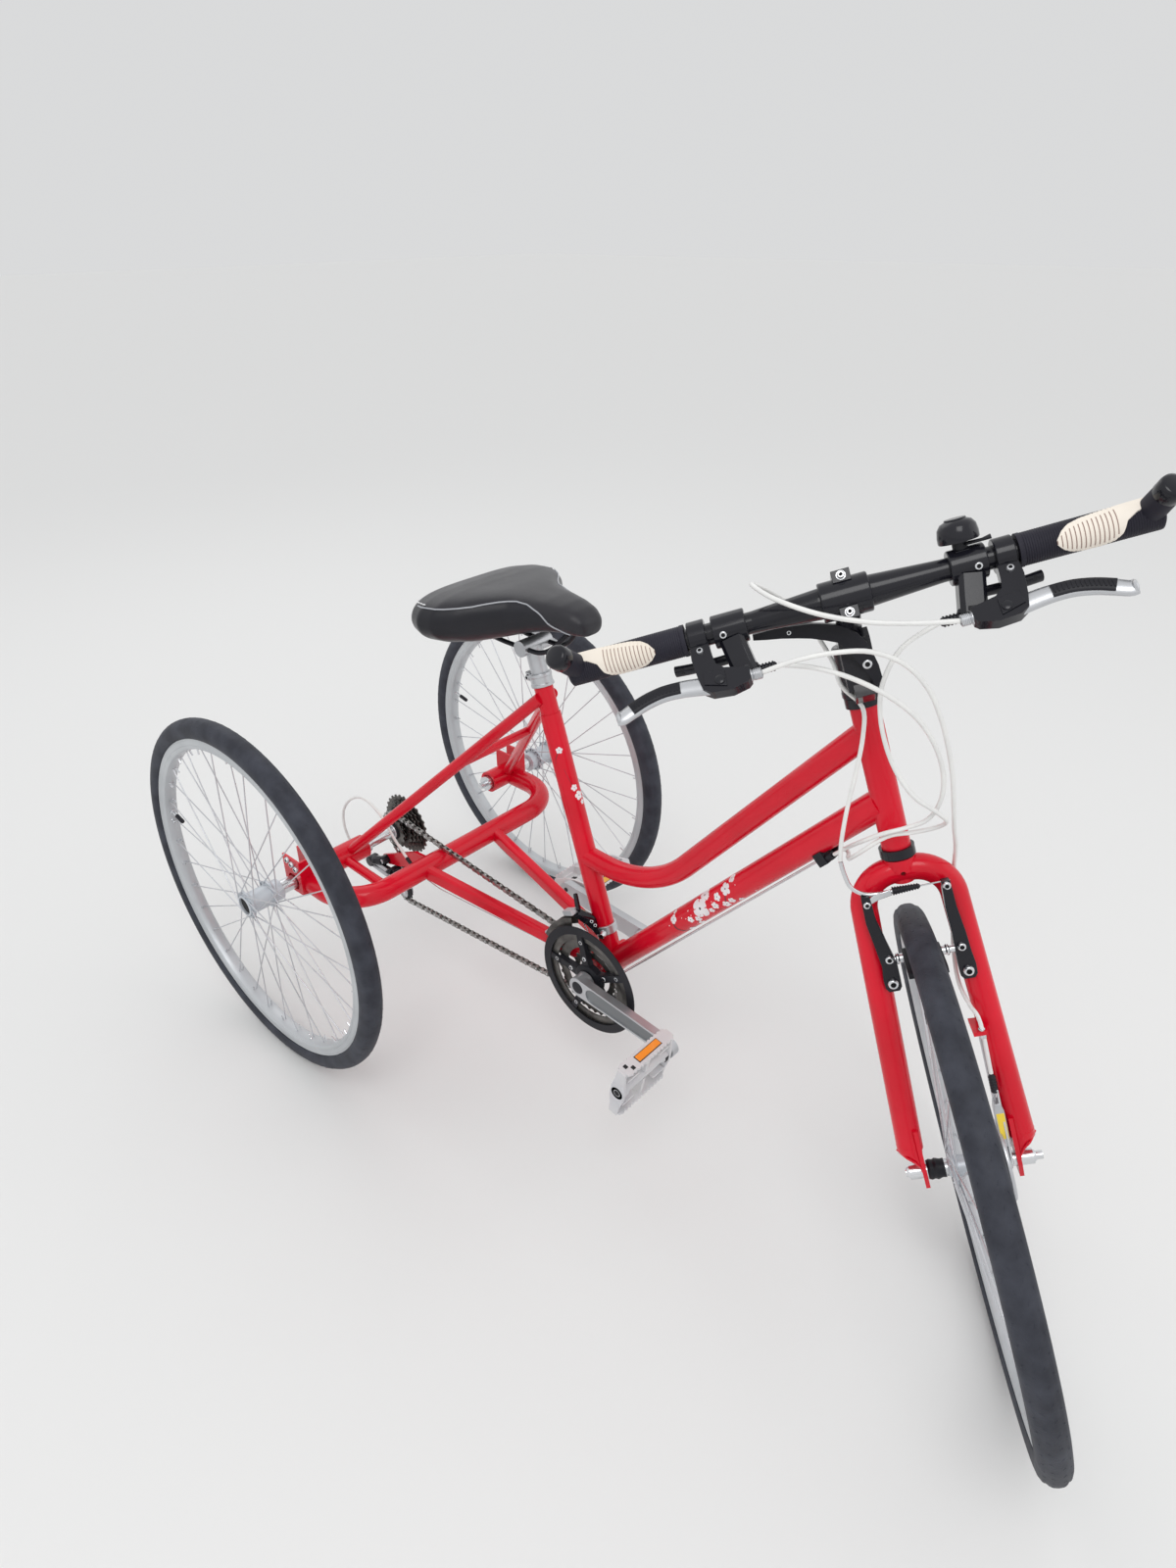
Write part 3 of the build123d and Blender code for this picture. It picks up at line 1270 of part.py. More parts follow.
# Bare wires under the down tube, and the housing from the crossbar to the rear derailleur
wire_under = down_under * (down_tube_radius + 4)
wire_start = stop_centre + wire_under - down_run * 0.3
bracket_ahead = bracket + Vector(11, 0, -bracket_radius - 4.1)
bracket_under = bracket + Vector(-3, 0, -bracket_radius - 4.3)
rear_loop_points = [
    (78, -85, 309),
    (50, -86, 336),
    (22, -88, 372),
    (-20, -90, 392),
    (-62, -90, 376),
    (-98, -88, 336),
    (-108, -85, 290),
    (-98, -78, 248),
    (-74, -74, 232),
    (-46.6, -74, 241.3),
]
with BuildPart() as rear_shift_cables:
    stay_wire = [at(165, -84, 282), at(118, -86, 289.5), at(*rear_loop_points[0])]
    strut_way = (strut_high - strut_low).normalized()
    strut_back = (strut_way * strut_way.X - Vector(1, 0, 0)).normalized()
    strut_seat = strut_low + (strut_high - strut_low) * 0.65 + strut_back * (strut_radius + wire_size)
    cage_wire = [bracket + Vector(-27, 0, -14), strut_seat]
    for side, wire_end in [(-1, stay_wire), (1, cage_wire)]:
        beside = Vector(0, side * mouth_y, 0)
        wire_points = [
            wire_start + beside,
            bracket_ahead + beside,
            bracket_under + beside,
        ]
        cable("bare wire", wire_points + wire_end, wire_size)
    cable("rear housing", [at(*point) for point in rear_loop_points], housing_size)
rear_shift_cables.part.label = "rear_shift_cables"
export_step(rear_shift_cables.part, "parts/rear_shift_cables.step")
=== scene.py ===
import math
import random
import bmesh
import bpy
from mathutils import Matrix, Vector


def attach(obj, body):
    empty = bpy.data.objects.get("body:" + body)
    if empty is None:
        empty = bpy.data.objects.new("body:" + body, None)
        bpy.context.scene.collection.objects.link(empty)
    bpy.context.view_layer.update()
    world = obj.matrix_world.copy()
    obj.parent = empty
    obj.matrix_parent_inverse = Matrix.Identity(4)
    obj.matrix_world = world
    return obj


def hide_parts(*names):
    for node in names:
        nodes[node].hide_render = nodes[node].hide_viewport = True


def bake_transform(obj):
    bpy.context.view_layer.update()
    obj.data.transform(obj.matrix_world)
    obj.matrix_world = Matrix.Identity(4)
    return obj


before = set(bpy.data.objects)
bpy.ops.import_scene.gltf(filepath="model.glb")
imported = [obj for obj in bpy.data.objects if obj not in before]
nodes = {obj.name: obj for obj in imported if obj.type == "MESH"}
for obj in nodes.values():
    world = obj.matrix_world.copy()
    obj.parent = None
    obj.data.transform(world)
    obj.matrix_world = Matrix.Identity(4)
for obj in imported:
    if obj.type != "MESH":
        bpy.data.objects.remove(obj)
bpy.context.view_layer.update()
print("stage: frame loaded,", len(nodes), "nodes")

# Places, in millimetres in the frame's own axes: +X forward, +Y left, +Z up
xWay, yWay, zWay = Vector((1, 0, 0)), Vector((0, 1, 0)), Vector((0, 0, 1))
layout = {
    "rearAxle": Vector((-491, 0, 315.9)),
    "wheelY": 330.5,
    "bracket": Vector((-2, 0, 254)),
    "seatSlope": math.radians(72.2),
    "steeringFoot": Vector((570.306, 0, 291.711)),
    "headSlope": math.radians(67.9),
    "turn": math.radians(-54.9),
    "forkRake": 45,
    "barReach": 88,
    "barHeight": 702,
    "seatTube": 467,
}
steerUp = Vector((-math.cos(layout["headSlope"]), 0, math.sin(layout["headSlope"])))
steerAhead = Vector((math.sin(layout["headSlope"]), 0, math.cos(layout["headSlope"])))
steerForward = steerAhead * math.cos(layout["turn"]) + yWay * math.sin(layout["turn"])
steerLeft = steerUp.cross(steerForward)
seatUp = Vector((-math.cos(layout["seatSlope"]), 0, math.sin(layout["seatSlope"])))
downRun = Vector((0.65575, 0, 0.75498))
downUnder = Vector((0.75498, 0, -0.65575))


# A place is a matrix from a piece's own millimetres to the frame's metres
def localAt(origin, x, y, z):
    return Matrix([[x[i], y[i], z[i], origin[i]] for i in range(3)] + [[0, 0, 0, 1]])


def placeAt(origin, x, y, z):
    return Matrix.Scale(0.001, 4) @ localAt(origin, x, y, z)


def axesOn(way, side=None):
    way = way.normalized()
    across = (side if side else (zWay if abs(way.z) < 0.9 else xWay)).cross(way).normalized()
    return across, way.cross(across), way


def alongPlace(start, way, side=None):
    return placeAt(start, *axesOn(way, side))


steerPlace = placeAt(layout["steeringFoot"], steerForward, steerLeft, steerUp)
frontAxle = layout["steeringFoot"] + steerForward * layout["forkRake"]
frontWheelPlace = placeAt(frontAxle, steerUp, steerForward, steerLeft)
rightWheelPlace = placeAt(layout["rearAxle"] - yWay * layout["wheelY"], zWay, xWay, yWay)
leftWheelPlace = placeAt(layout["rearAxle"] + yWay * layout["wheelY"], zWay, xWay, yWay)
crankPlace = placeAt(layout["bracket"], xWay, zWay, -yWay)
sprocketPlace = placeAt(layout["rearAxle"], xWay, zWay, -yWay)


# A point that turns with the steering: ahead of its axis, to its left and up along it
def atSteer(reach, side, height):
    return layout["steeringFoot"] + steerForward * reach + steerLeft * side + steerUp * height


# A point measured from the middle of the handlebar
def atBar(side, reach=0, rise=0):
    return atSteer(layout["barReach"] + reach, side, layout["barHeight"] + rise)


# A run of points that turns with the steering, or its mirror image on the other side
def steerRun(points, side=1):
    return [atSteer(reach, side * out, height) for reach, out, height in points]


# A point measured forward from the rear axle and up from the floor
def atFrame(x, y, z):
    return Vector((x + layout["rearAxle"].x, y, z))


# Materials


def addNoise(tree, coords, scale, detail=4.0):
    noise = tree.nodes.new("ShaderNodeTexNoise")
    noise.inputs["Scale"].default_value = scale
    noise.inputs["Detail"].default_value = detail
    tree.links.new(coords.outputs["Object"], noise.inputs["Vector"])
    return noise


def makeFinish(name, look):
    material = bpy.data.materials.new(name)
    material.use_nodes = True
    tree = material.node_tree
    shader = tree.nodes["Principled BSDF"]
    shader.inputs["Metallic"].default_value = look.get("metal", 0)
    shader.inputs["Coat Weight"].default_value = look.get("coat", 0)
    shader.inputs["Coat Roughness"].default_value = 0.06
    shader.inputs["Specular IOR Level"].default_value = look.get("gloss", 0.5)
    coords = tree.nodes.new("ShaderNodeTexCoord")
    shader.inputs["Base Color"].default_value = (*look["colour"], 1)
    if "other" in look:
        patches = addNoise(tree, coords, look.get("patch", 9))
        ramp = tree.nodes.new("ShaderNodeValToRGB")
        ramp.color_ramp.elements[0].position = 0.35
        ramp.color_ramp.elements[1].position = 0.7
        ramp.color_ramp.elements[0].color = (*look["colour"], 1)
        ramp.color_ramp.elements[1].color = (*look["other"], 1)
        tree.links.new(patches.outputs["Fac"], ramp.inputs["Fac"])
        tree.links.new(ramp.outputs["Color"], shader.inputs["Base Color"])
    wear = addNoise(tree, coords, look.get("wear", 40), 6.0)
    span = tree.nodes.new("ShaderNodeMapRange")
    span.inputs["To Min"].default_value, span.inputs["To Max"].default_value = look["rough"]
    tree.links.new(wear.outputs["Fac"], span.inputs["Value"])
    tree.links.new(span.outputs["Result"], shader.inputs["Roughness"])
    if "grain" in look:
        bump = tree.nodes.new("ShaderNodeBump")
        bump.inputs["Strength"].default_value = look.get("depth", 0.2)
        bump.inputs["Distance"].default_value = 0.0006
        if look.get("cells"):
            cells = tree.nodes.new("ShaderNodeTexVoronoi")
            cells.inputs["Scale"].default_value = look["grain"]
            tree.links.new(coords.outputs["Object"], cells.inputs["Vector"])
            tree.links.new(cells.outputs["Distance"], bump.inputs["Height"])
        else:
            grain = addNoise(tree, coords, look["grain"], 3.0)
            tree.links.new(grain.outputs["Fac"], bump.inputs["Height"])
        tree.links.new(bump.outputs["Normal"], shader.inputs["Normal"])
    return material


finishLooks = {
    "redEnamel": {
        "colour": (0.70, 0.002, 0.020), "other": (0.58, 0.001, 0.014), "rough": (0.2, 0.3), "coat": 0.2,
        "gloss": 0.28, "grain": 260, "depth": 0.03,
    },
    "silverAlloy": {
        "colour": (0.60, 0.61, 0.63), "other": (0.50, 0.51, 0.53), "rough": (0.28, 0.42), "metal": 0.85,
        "grain": 700, "depth": 0.06,
    },
    "rimAlloy": {
        "colour": (0.56, 0.58, 0.60), "other": (0.47, 0.49, 0.51), "rough": (0.34, 0.5), "metal": 0.55,
        "grain": 500, "depth": 0.05,
    },
    "hubSilver": {
        "colour": (0.58, 0.61, 0.65), "other": (0.50, 0.53, 0.57), "rough": (0.35, 0.5), "metal": 0.55,
        "grain": 300, "depth": 0.05,
    },
    "polishedSteel": {
        "colour": (0.72, 0.73, 0.75), "other": (0.62, 0.63, 0.65), "rough": (0.16, 0.3), "metal": 1,
    },
    "spokeSteel": {
        "colour": (0.66, 0.67, 0.70), "other": (0.5, 0.5, 0.52), "rough": (0.22, 0.36), "metal": 0.9,
    },
    "glossBlack": {
        "colour": (0.007, 0.007, 0.011), "other": (0.012, 0.012, 0.017), "rough": (0.14, 0.24), "coat": 0.12,
        "gloss": 0.3,
    },
    "satinBlack": {
        "colour": (0.010, 0.010, 0.014), "other": (0.018, 0.018, 0.023), "rough": (0.34, 0.5), "gloss": 0.25,
        "grain": 600, "depth": 0.1,
    },
    "darkSteel": {
        "colour": (0.10, 0.095, 0.09), "other": (0.2, 0.19, 0.18), "rough": (0.35, 0.5), "metal": 0.9,
        "patch": 60,
    },
    "chainPlate": {
        "colour": (0.42, 0.41, 0.4), "other": (0.16, 0.15, 0.14), "rough": (0.25, 0.42), "metal": 0.95,
        "patch": 90,
    },
    "tyreRubber": {
        "colour": (0.024, 0.026, 0.036), "other": (0.046, 0.050, 0.066), "rough": (0.5, 0.7), "gloss": 0.3,
        "patch": 34, "grain": 420, "depth": 0.4,
    },
    "gripBlack": {
        "colour": (0.013, 0.012, 0.021), "other": (0.022, 0.021, 0.033), "rough": (0.5, 0.68), "gloss": 0.3,
        "grain": 900, "depth": 0.25,
    },
    "gripCream": {
        "colour": (0.86, 0.79, 0.70), "other": (0.78, 0.70, 0.60), "rough": (0.5, 0.62), "grain": 500,
        "depth": 0.12,
    },
    "saddleVinyl": {
        "colour": (0.010, 0.010, 0.015), "other": (0.02, 0.019, 0.024), "rough": (0.26, 0.38), "gloss": 0.4,
        "grain": 1300, "depth": 0.25, "cells": True,
    },
    "sideVinyl": {
        "colour": (0.007, 0.007, 0.011), "other": (0.012, 0.012, 0.017), "rough": (0.26, 0.38), "gloss": 0.35,
        "grain": 1500, "depth": 0.2, "cells": True,
    },
    # Darkened cream: painted shade in the grooves of the grips' pads
    "paintedGrooveShade": {"colour": (0.30, 0.20, 0.17), "rough": (0.6, 0.7)},
    "pipingGrey": {"colour": (0.36, 0.37, 0.4), "rough": (0.3, 0.4)},
    "stitchWhite": {"colour": (0.85, 0.85, 0.86), "rough": (0.5, 0.6)},
    "whiteHousing": {
        "colour": (0.82, 0.82, 0.80), "other": (0.74, 0.74, 0.73), "rough": (0.25, 0.36), "patch": 30,
    },
    "whitePrint": {
        "colour": (0.85, 0.82, 0.83), "other": (0.78, 0.72, 0.74), "rough": (0.25, 0.35), "patch": 60,
    },
    "inkPrint": {"colour": (0.03, 0.012, 0.015), "rough": (0.3, 0.4)},
    "yellowPrint": {"colour": (0.85, 0.62, 0.05), "rough": (0.35, 0.45)},
    "amberLens": {
        "colour": (0.95, 0.30, 0.02), "other": (0.9, 0.22, 0.01), "rough": (0.12, 0.2), "coat": 0.6,
        "grain": 500, "depth": 0.5, "cells": True,
    },
    "yellowLens": {
        "colour": (0.93, 0.47, 0.03), "rough": (0.12, 0.2), "coat": 0.6, "grain": 500, "depth": 0.5,
        "cells": True,
    },
    "pedalGrey": {
        "colour": (0.72, 0.71, 0.71), "other": (0.60, 0.60, 0.63), "rough": (0.3, 0.42), "metal": 0.25,
        "grain": 300, "depth": 0.08,
    },
    "crankPanel": {
        "colour": (0.23, 0.24, 0.25), "other": (0.18, 0.19, 0.20), "rough": (0.35, 0.45), "metal": 0.6,
        "grain": 500, "depth": 0.05,
    },
    # Near-black painted shade, put in bolt sockets, spoke holes, the rear hubs' bores, a dimple on each
    # shifter and openings on the pedals
    "paintedRecessShade": {"colour": (0.01, 0.01, 0.012), "rough": (0.7, 0.85)},
}
finishes = {name: makeFinish(name, look) for name, look in finishLooks.items()}
print("stage: finishes made,", len(finishes))


# Mesh tools: each adds to a bmesh, in its own millimetres, through a place
def addLathe(bm, place, profile, sides=48, closed=False, part=0):
    rings = []
    for radius, height in profile:
        if radius < 0.001:
            rings.append([bm.verts.new(place @ Vector((0, 0, height)))])
            continue
        rings.append([bm.verts.new(place @ Vector((x, y, height))) for x, y in circle(radius, sides)])
    pairs = list(zip(rings, rings[1:] + rings[:1])) if closed else list(zip(rings, rings[1:]))
    for low, high in pairs:
        for k in range(sides):
            n = (k + 1) % sides
            if len(low) == 1 and len(high) == 1:
                continue
            if len(low) == 1:
                corners = [low[0], high[n], high[k]]
            elif len(high) == 1:
                corners = [low[k], low[n], high[0]]
            else:
                corners = [low[k], low[n], high[n], high[k]]
            bm.faces.new(corners).material_index = part


def addSweep(bm, points, radii, sides=12, part=0, flat=None, wideWay=None):
    count = len(points)
    radii = radii if isinstance(radii, list) else [radii] * count
    flat = flat if isinstance(flat, list) else [flat or (1, 1)] * count
    ways = []
    for k in range(count):
        ways.append((points[min(k + 1, count - 1)] - points[max(k - 1, 0)]).normalized())
    side = wideWay or (zWay if abs(ways[0].z) < 0.9 else xWay).cross(ways[0]).normalized()
    rings = []
    for point, way, radius, (wide, thick) in zip(points, ways, radii, flat):
        side = (side - way * side.dot(way)).normalized()
        over = way.cross(side)
        ring = []
        for k in range(sides):
            a = 2 * math.pi * k / sides
            offset = side * (math.cos(a) * radius * wide) + over * (math.sin(a) * radius * thick)
            ring.append(bm.verts.new((point + offset) * 0.001))
        rings.append(ring)
    for low, high in zip(rings, rings[1:]):
        for k in range(sides):
            n = (k + 1) % sides
            bm.faces.new([low[k], low[n], high[n], high[k]]).material_index = part
    bm.faces.new(rings[0][::-1]).material_index = part
    bm.faces.new(rings[-1]).material_index = part


def addPrism(bm, place, outline, low, high, part=0, inner=None):
    def ring(points, height):
        return [bm.verts.new(place @ Vector((x, y, height))) for x, y in points]

    loops = [(ring(outline, low), ring(outline, high), 1)]
    if inner:
        loops.append((ring(inner, low), ring(inner, high), -1))
    for bottom, top, sense in loops:
        for k in range(len(bottom)):
            n = (k + 1) % len(bottom)
            corners = [bottom[k], bottom[n], top[n], top[k]]
            bm.faces.new(corners[::sense]).material_index = part
    if inner:
        for k in range(len(outline)):
            n = (k + 1) % len(outline)
            for level, sense in ((0, -1), (1, 1)):
                corners = [loops[0][level][k], loops[0][level][n], loops[1][level][n], loops[1][level][k]]
                bm.faces.new(corners[::sense]).material_index = part
    else:
        bm.faces.new(loops[0][0][::-1]).material_index = part
        bm.faces.new(loops[0][1]).material_index = part


def addBlock(bm, place, low, high, part=0):
    outline = [(low[0], low[1]), (high[0], low[1]), (high[0], high[1]), (low[0], high[1])]
    addPrism(bm, place, outline, low[2], high[2], part)


def circle(radius, count, middle=(0, 0), start=0):
    turns = [start + 2 * math.pi * k / count for k in range(count)]
    return [(middle[0] + radius * math.cos(a), middle[1] + radius * math.sin(a)) for a in turns]


# A domed bolt head with a hex socket, standing on its seat; the socket's inside takes the part given, most
# often near-black painted shade
def addBolt(bm, seat, way, radius, height, part=0, socket=1):
    place = alongPlace(seat, way)
    dome = [(radius, -0.5), (radius, height * 0.6), (radius * 0.82, height), (radius * 0.52, height)]
    addLathe(bm, place, dome, 20, part=part)
    hollow = [(radius * 0.52, height), (radius * 0.5, height * 0.35), (0, height * 0.35)]
    addLathe(bm, place, hollow, 6, part=socket)


def smoothLine(points, steps):
    line = []
    last = len(points) - 1
    for k in range(last):
        a, b, c, d = points[max(k - 1, 0)], points[k], points[k + 1], points[min(k + 2, last)]
        for s in range(steps):
            t = s / steps
            bend = (2 * a - 5 * b + 4 * c - d) * t * t + (3 * b - a - 3 * c + d) * t ** 3
            line.append(0.5 * (2 * b + (c - a) * t + bend))
    return line + [points[last]]


def between(table, x):
    for (x0, *low), (x1, *high) in zip(table, table[1:]):
        if x <= x1:
            t = (x - x0) / (x1 - x0)
            return [a + (b - a) * t for a, b in zip(low, high)]
    return list(table[-1][1:])


# The same profile, or with a sense of -1 its mirror image down the axis
def flipRows(profile, sense):
    return [(radius, height * sense) for radius, height in profile]


# The same few (radius, height) pairs again and again, a pitch apart, for ribs and bellows
def ribRows(count, pitch, pairs, shrink=0):
    return [(radius - shrink * k, height + pitch * k) for k in range(count) for radius, height in pairs]


def newPiece(name, bm, parts, angle=None):
    mesh = bpy.data.meshes.new(name)
    bm.to_mesh(mesh)
    bm.free()
    for part in parts:
        mesh.materials.append(finishes[part])
    if angle:
        mesh.shade_smooth()
        mesh.set_sharp_from_angle(angle=math.radians(angle))
    piece = bpy.data.objects.new(name, mesh)
    bpy.context.scene.collection.objects.link(piece)
    return piece


def finishPiece(name, bm, parts, body, stands=(), bevel=0, angle=40, levels=0):
    bmesh.ops.recalc_face_normals(bm, faces=bm.faces)
    piece = newPiece(name, bm, parts, angle)
    if bevel:
        edge = piece.modifiers.new("edges", "BEVEL")
        edge.width = bevel * 0.001
        edge.segments = 2
        edge.limit_method = "ANGLE"
        edge.angle_limit = math.radians(35)
    if levels:
        piece.modifiers.new("rounding", "SUBSURF").render_levels = levels
        piece.modifiers["rounding"].levels = levels
    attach(piece, body)
    if stands:
        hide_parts(*stands)
    return piece


def dress(finish, *names):
    for name in names:
        nodes[name].data.materials.clear()
        nodes[name].data.materials.append(finishes[finish])


# The frame's own tubes keep their CAD shapes and get the enamel
dress(
    "redEnamel", "head_tube", "down_tube", "top_tube", "seat_tube", "bottom_bracket_shell", "chainstays",
    "axle_crossbar",
)
dress("redEnamel", "axle_housings", "axle_brackets", "seat_stays", "axle_brace", "derailleur_hanger", "fork")
dress("silverAlloy", "seat_post")
dress("polishedSteel", "right_axle", "left_axle", "front_axle")
dress("spokeSteel", "right_spokes", "left_spokes", "front_spokes")
dress("glossBlack", "handlebar", "headset_cups")
dress("satinBlack", "saddle_rails", "cable_stop")
print("stage: frame tubes dressed")

# Wheels
tyreLook = {
    "ring": 297.7, "half": 18.2, "foot": 286.3, "groove": 0.7, "nubs": 96, "nubSize": (2.6, 1.4, 0.5),
    "steps": 28,
}
rimLook = {"outer": 286, "inner": 266, "half": 12.5, "valve": 284, "nipples": 36}


def tyrePiece(name, place, body):
    look = tyreLook
    bm = bmesh.new()
    reach = math.acos((look["foot"] - look["ring"]) / look["half"])
    profile = []
    for k in range(look["steps"] + 1):
        a = -reach + 2 * reach * k / look["steps"]
        radius = look["half"] - 0.15
        if abs(abs(math.degrees(a)) - 34) < 5:
            radius -= look["groove"]
        if abs(math.degrees(a)) > 68:
            radius -= 0.5
        profile.append((look["ring"] + radius * math.cos(a), radius * math.sin(a)))
    profile += [(look["foot"] - 0.1, profile[-1][1] - 2), (look["foot"] - 0.1, profile[0][1] + 2)]
    addLathe(bm, place, profile, 144, closed=True)
    long, wide, deep = look["nubSize"]
    for row, lean in ((-48, 1), (-18, -1), (18, 1), (48, -1)):
        for k in range(look["nubs"]):
            turn = 2 * math.pi * (k + (0.5 if lean > 0 else 0)) / look["nubs"]
            a = math.radians(row)
            out = Vector((math.cos(turn), math.sin(turn), 0))
            way = Vector((-math.sin(turn), math.cos(turn), 0))
            normal = out * math.cos(a) + zWay * math.sin(a)
            cross = way.cross(normal)
            middle = out * look["ring"] + normal * (look["half"] - 0.35)
            lengthWay = (way * 0.9 + cross * 0.44 * lean).normalized()
            widthWay = normal.cross(lengthWay)
            corners = []
            for lift in (0, 1):
                size = 1 - 0.25 * lift
                for sx, sy in ((-1, -1), (1, -1), (1, 1), (-1, 1)):
                    corner = middle + lengthWay * sx * long * size + widthWay * sy * wide * size * 0.6
                    corners.append(bm.verts.new(place @ (corner + normal * lift * deep * 0.7)))
            for face in ((4, 5, 6, 7), (0, 1, 5, 4), (1, 2, 6, 5), (2, 3, 7, 6), (3, 0, 4, 7)):
                bm.faces.new([corners[c] for c in face])
    finishPiece(name + "Tyre", bm, ["tyreRubber"], body, [name + "_tyre"], angle=30)


def rimPiece(name, place, body):
    look = rimLook
    inner, outer, half = look["inner"], look["outer"], look["half"]
    bm = bmesh.new()
    side = [
        (inner, 0), (inner + 0.3, half * 0.45), (inner + 2.5, half * 0.85), (inner + 6, half),
        (inner + 8.2, half), (inner + 8.6, half - 0.5), (inner + 9.2, half - 0.5), (inner + 9.6, half),
        (outer - 3.4, half), (outer - 2.9, half - 0.4), (outer - 1.2, half), (outer, half - 0.5),
        (outer, half - 1.8), (outer - 8, half - 2.2),
    ]
    profile = side + [(r, -h) for r, h in side[::-1][:-1]]
    addLathe(bm, place, profile, 144, closed=True)
    for k in range(look["nipples"]):
        turn = 2 * math.pi * k / look["nipples"]
        lean = 1 if k % 2 else -1
        out = Vector((math.cos(turn), math.sin(turn), 0))
        nipple = place @ localAt(out * (inner + 0.5) + zWay * 2.5 * lean, *axesOn(zWay * 0.1 * lean - out))
        addLathe(bm, nipple, [(2.1, 0), (2.1, 1.2), (1.6, 2), (1.5, 9.5), (0.9, 10.5)], 10, part=1)
    turn = math.radians(look["valve"])
    start = Vector((math.cos(turn), math.sin(turn), 0)) * inner
    base = place @ localAt(start, *axesOn(-start))
    addLathe(bm, base, [(4.2, -0.5), (4.2, 2), (3.1, 3), (3.1, 16)], 14, part=1)
    addLathe(bm, base, [(3.6, 15), (3.9, 17), (3.9, 32), (3.2, 35), (0, 36)], 14, part=2)
    finishPiece(
        name + "Rim", bm, ["rimAlloy", "polishedSteel", "satinBlack"], body, [name + "_rim"], angle=28,
    )


# Each hub is turned about its axle; a rear one's outer end has a shallow recess closed by a near-black disc
# of painted shade that stands for a deep bore
hubLooks = {
    "right": {"place": rightWheelPlace, "sense": -1, "flanges": ((-20, 24), (20, 24))},
    "left": {"place": leftWheelPlace, "sense": 1, "flanges": ((-20, 24), (20, 24))},
    "front": {"place": frontWheelPlace, "sense": 1, "flanges": ((-20, 24), (16, 46))},
    "holes": 18,
    "rearEnds": (-40.5, 25.5),
    "frontProfile": [
        (5.2, -26), (11, -26), (12.5, -24), (12.5, -21.5), (24, -21.5), (24, -18.5), (13, -17), (12, -10),
        (12, 6), (14, 12),
        (46, 14.5), (46, 17.5), (44, 18), (44, 35.5), (42, 36), (5.2, 36),
    ],
}


def rearHubProfile(inner, outer):
    rows = [
        (10.05, inner), (17, inner), (18.4, inner + 1), (18.4, -21.5), (24, -21.5), (24, -18.5), (19, -17.5),
        (18.4, -15),
    ]
    rows += [
        (18.4, 15), (19, 17.5), (24, 18.5), (24, 21.5), (18.5, 22), (18.5, outer - 1), (17.6, outer),
        (15, outer),
    ]
    return rows + [(14.8, outer - 3), (14.8, outer - 3.6), (10.05, outer - 3.8)]


def hubPiece(name):
    place, sense = hubLooks[name]["place"], hubLooks[name]["sense"]
    bm = bmesh.new()
    if name == "front":
        addLathe(bm, place, hubLooks["frontProfile"], 72)
    else:
        inner, outer = hubLooks["rearEnds"]
        addLathe(bm, place, flipRows(rearHubProfile(inner, outer), sense), 56)
        # The bore's depth is painted shade: a near-black disc a little way into the end
        addLathe(bm, place, flipRows([(14.7, outer - 3.5), (0, outer - 3.4)], sense), 40, part=1)
    # Each spoke hole is a pair of near-black discs of painted shade on the flange
    for along, radius in hubLooks[name]["flanges"]:
        for k in range(hubLooks["holes"]):
            turn = 2 * math.pi * (k + (0.5 if along > 0 else 0)) / hubLooks["holes"]
            spot = Vector((math.cos(turn) * (radius - 3.5), math.sin(turn) * (radius - 3.5), along))
            for face in (-1.6, 1.6):
                addLathe(bm, place @ Matrix.Translation(spot), [(1.5, face), (0, face * 1.02)], 10, part=1)
    finishPiece(name + "Hub", bm, ["hubSilver", "paintedRecessShade"], name + "_wheel", [name + "_hub"], angle=30)


for wheel in ("right", "left", "front"):
    tyrePiece(wheel, hubLooks[wheel]["place"], wheel + "_wheel")
    rimPiece(wheel, hubLooks[wheel]["place"], wheel + "_wheel")
    hubPiece(wheel)
print("stage: wheels made")

# Axle brackets: three bolts on the outer wall of each
bracketLook = {"boltRadius": 5.2, "boltHeight": 4.2, "outerY": 262, "bolts": ((-8, 40), (4, 36), (15, 31))}
bm = bmesh.new()
for x, rise in bracketLook["bolts"]:
    for side in (-1, 1):
        seat = atFrame(x, side * bracketLook["outerY"], layout["rearAxle"].z + rise)
        addBolt(bm, seat, yWay * side, bracketLook["boltRadius"], bracketLook["boltHeight"])
finishPiece("bracketBolts", bm, ["polishedSteel", "paintedRecessShade"], "frame")

# Seat clamp: a split collar with a lipped top edge and a bolt behind
clampLook = {
    "collar": [
        (14.35, -6), (16.6, -6), (17.3, -5.4), (17.3, -1.5), (16.4, -1), (16.4, 8.5), (17.3, 9.2),
        (17.3, 13.4), (16.8, 14), (12.75, 14),
    ],
    "earHalf": 8,
}
seatTop = layout["bracket"] + seatUp * layout["seatTube"]
bm = bmesh.new()
addLathe(bm, alongPlace(seatTop, seatUp, yWay), clampLook["collar"], 48)
behind = seatTop + Vector((-19, 0, 1)) + seatUp * 3
addBlock(bm, placeAt(behind, xWay, yWay, seatUp), (-4, -8.5, -6), (5, 8.5, 7))
for way in (-yWay, yWay):
    addBolt(bm, behind + way * clampLook["earHalf"], way, 4.4, 4, 1, 2)
finishPiece(
    "seatClamp", bm, ["silverAlloy", "polishedSteel", "paintedRecessShade"], "frame", ["seat_clamp"], bevel=0.5,
)
print("stage: brackets and seat clamp made")

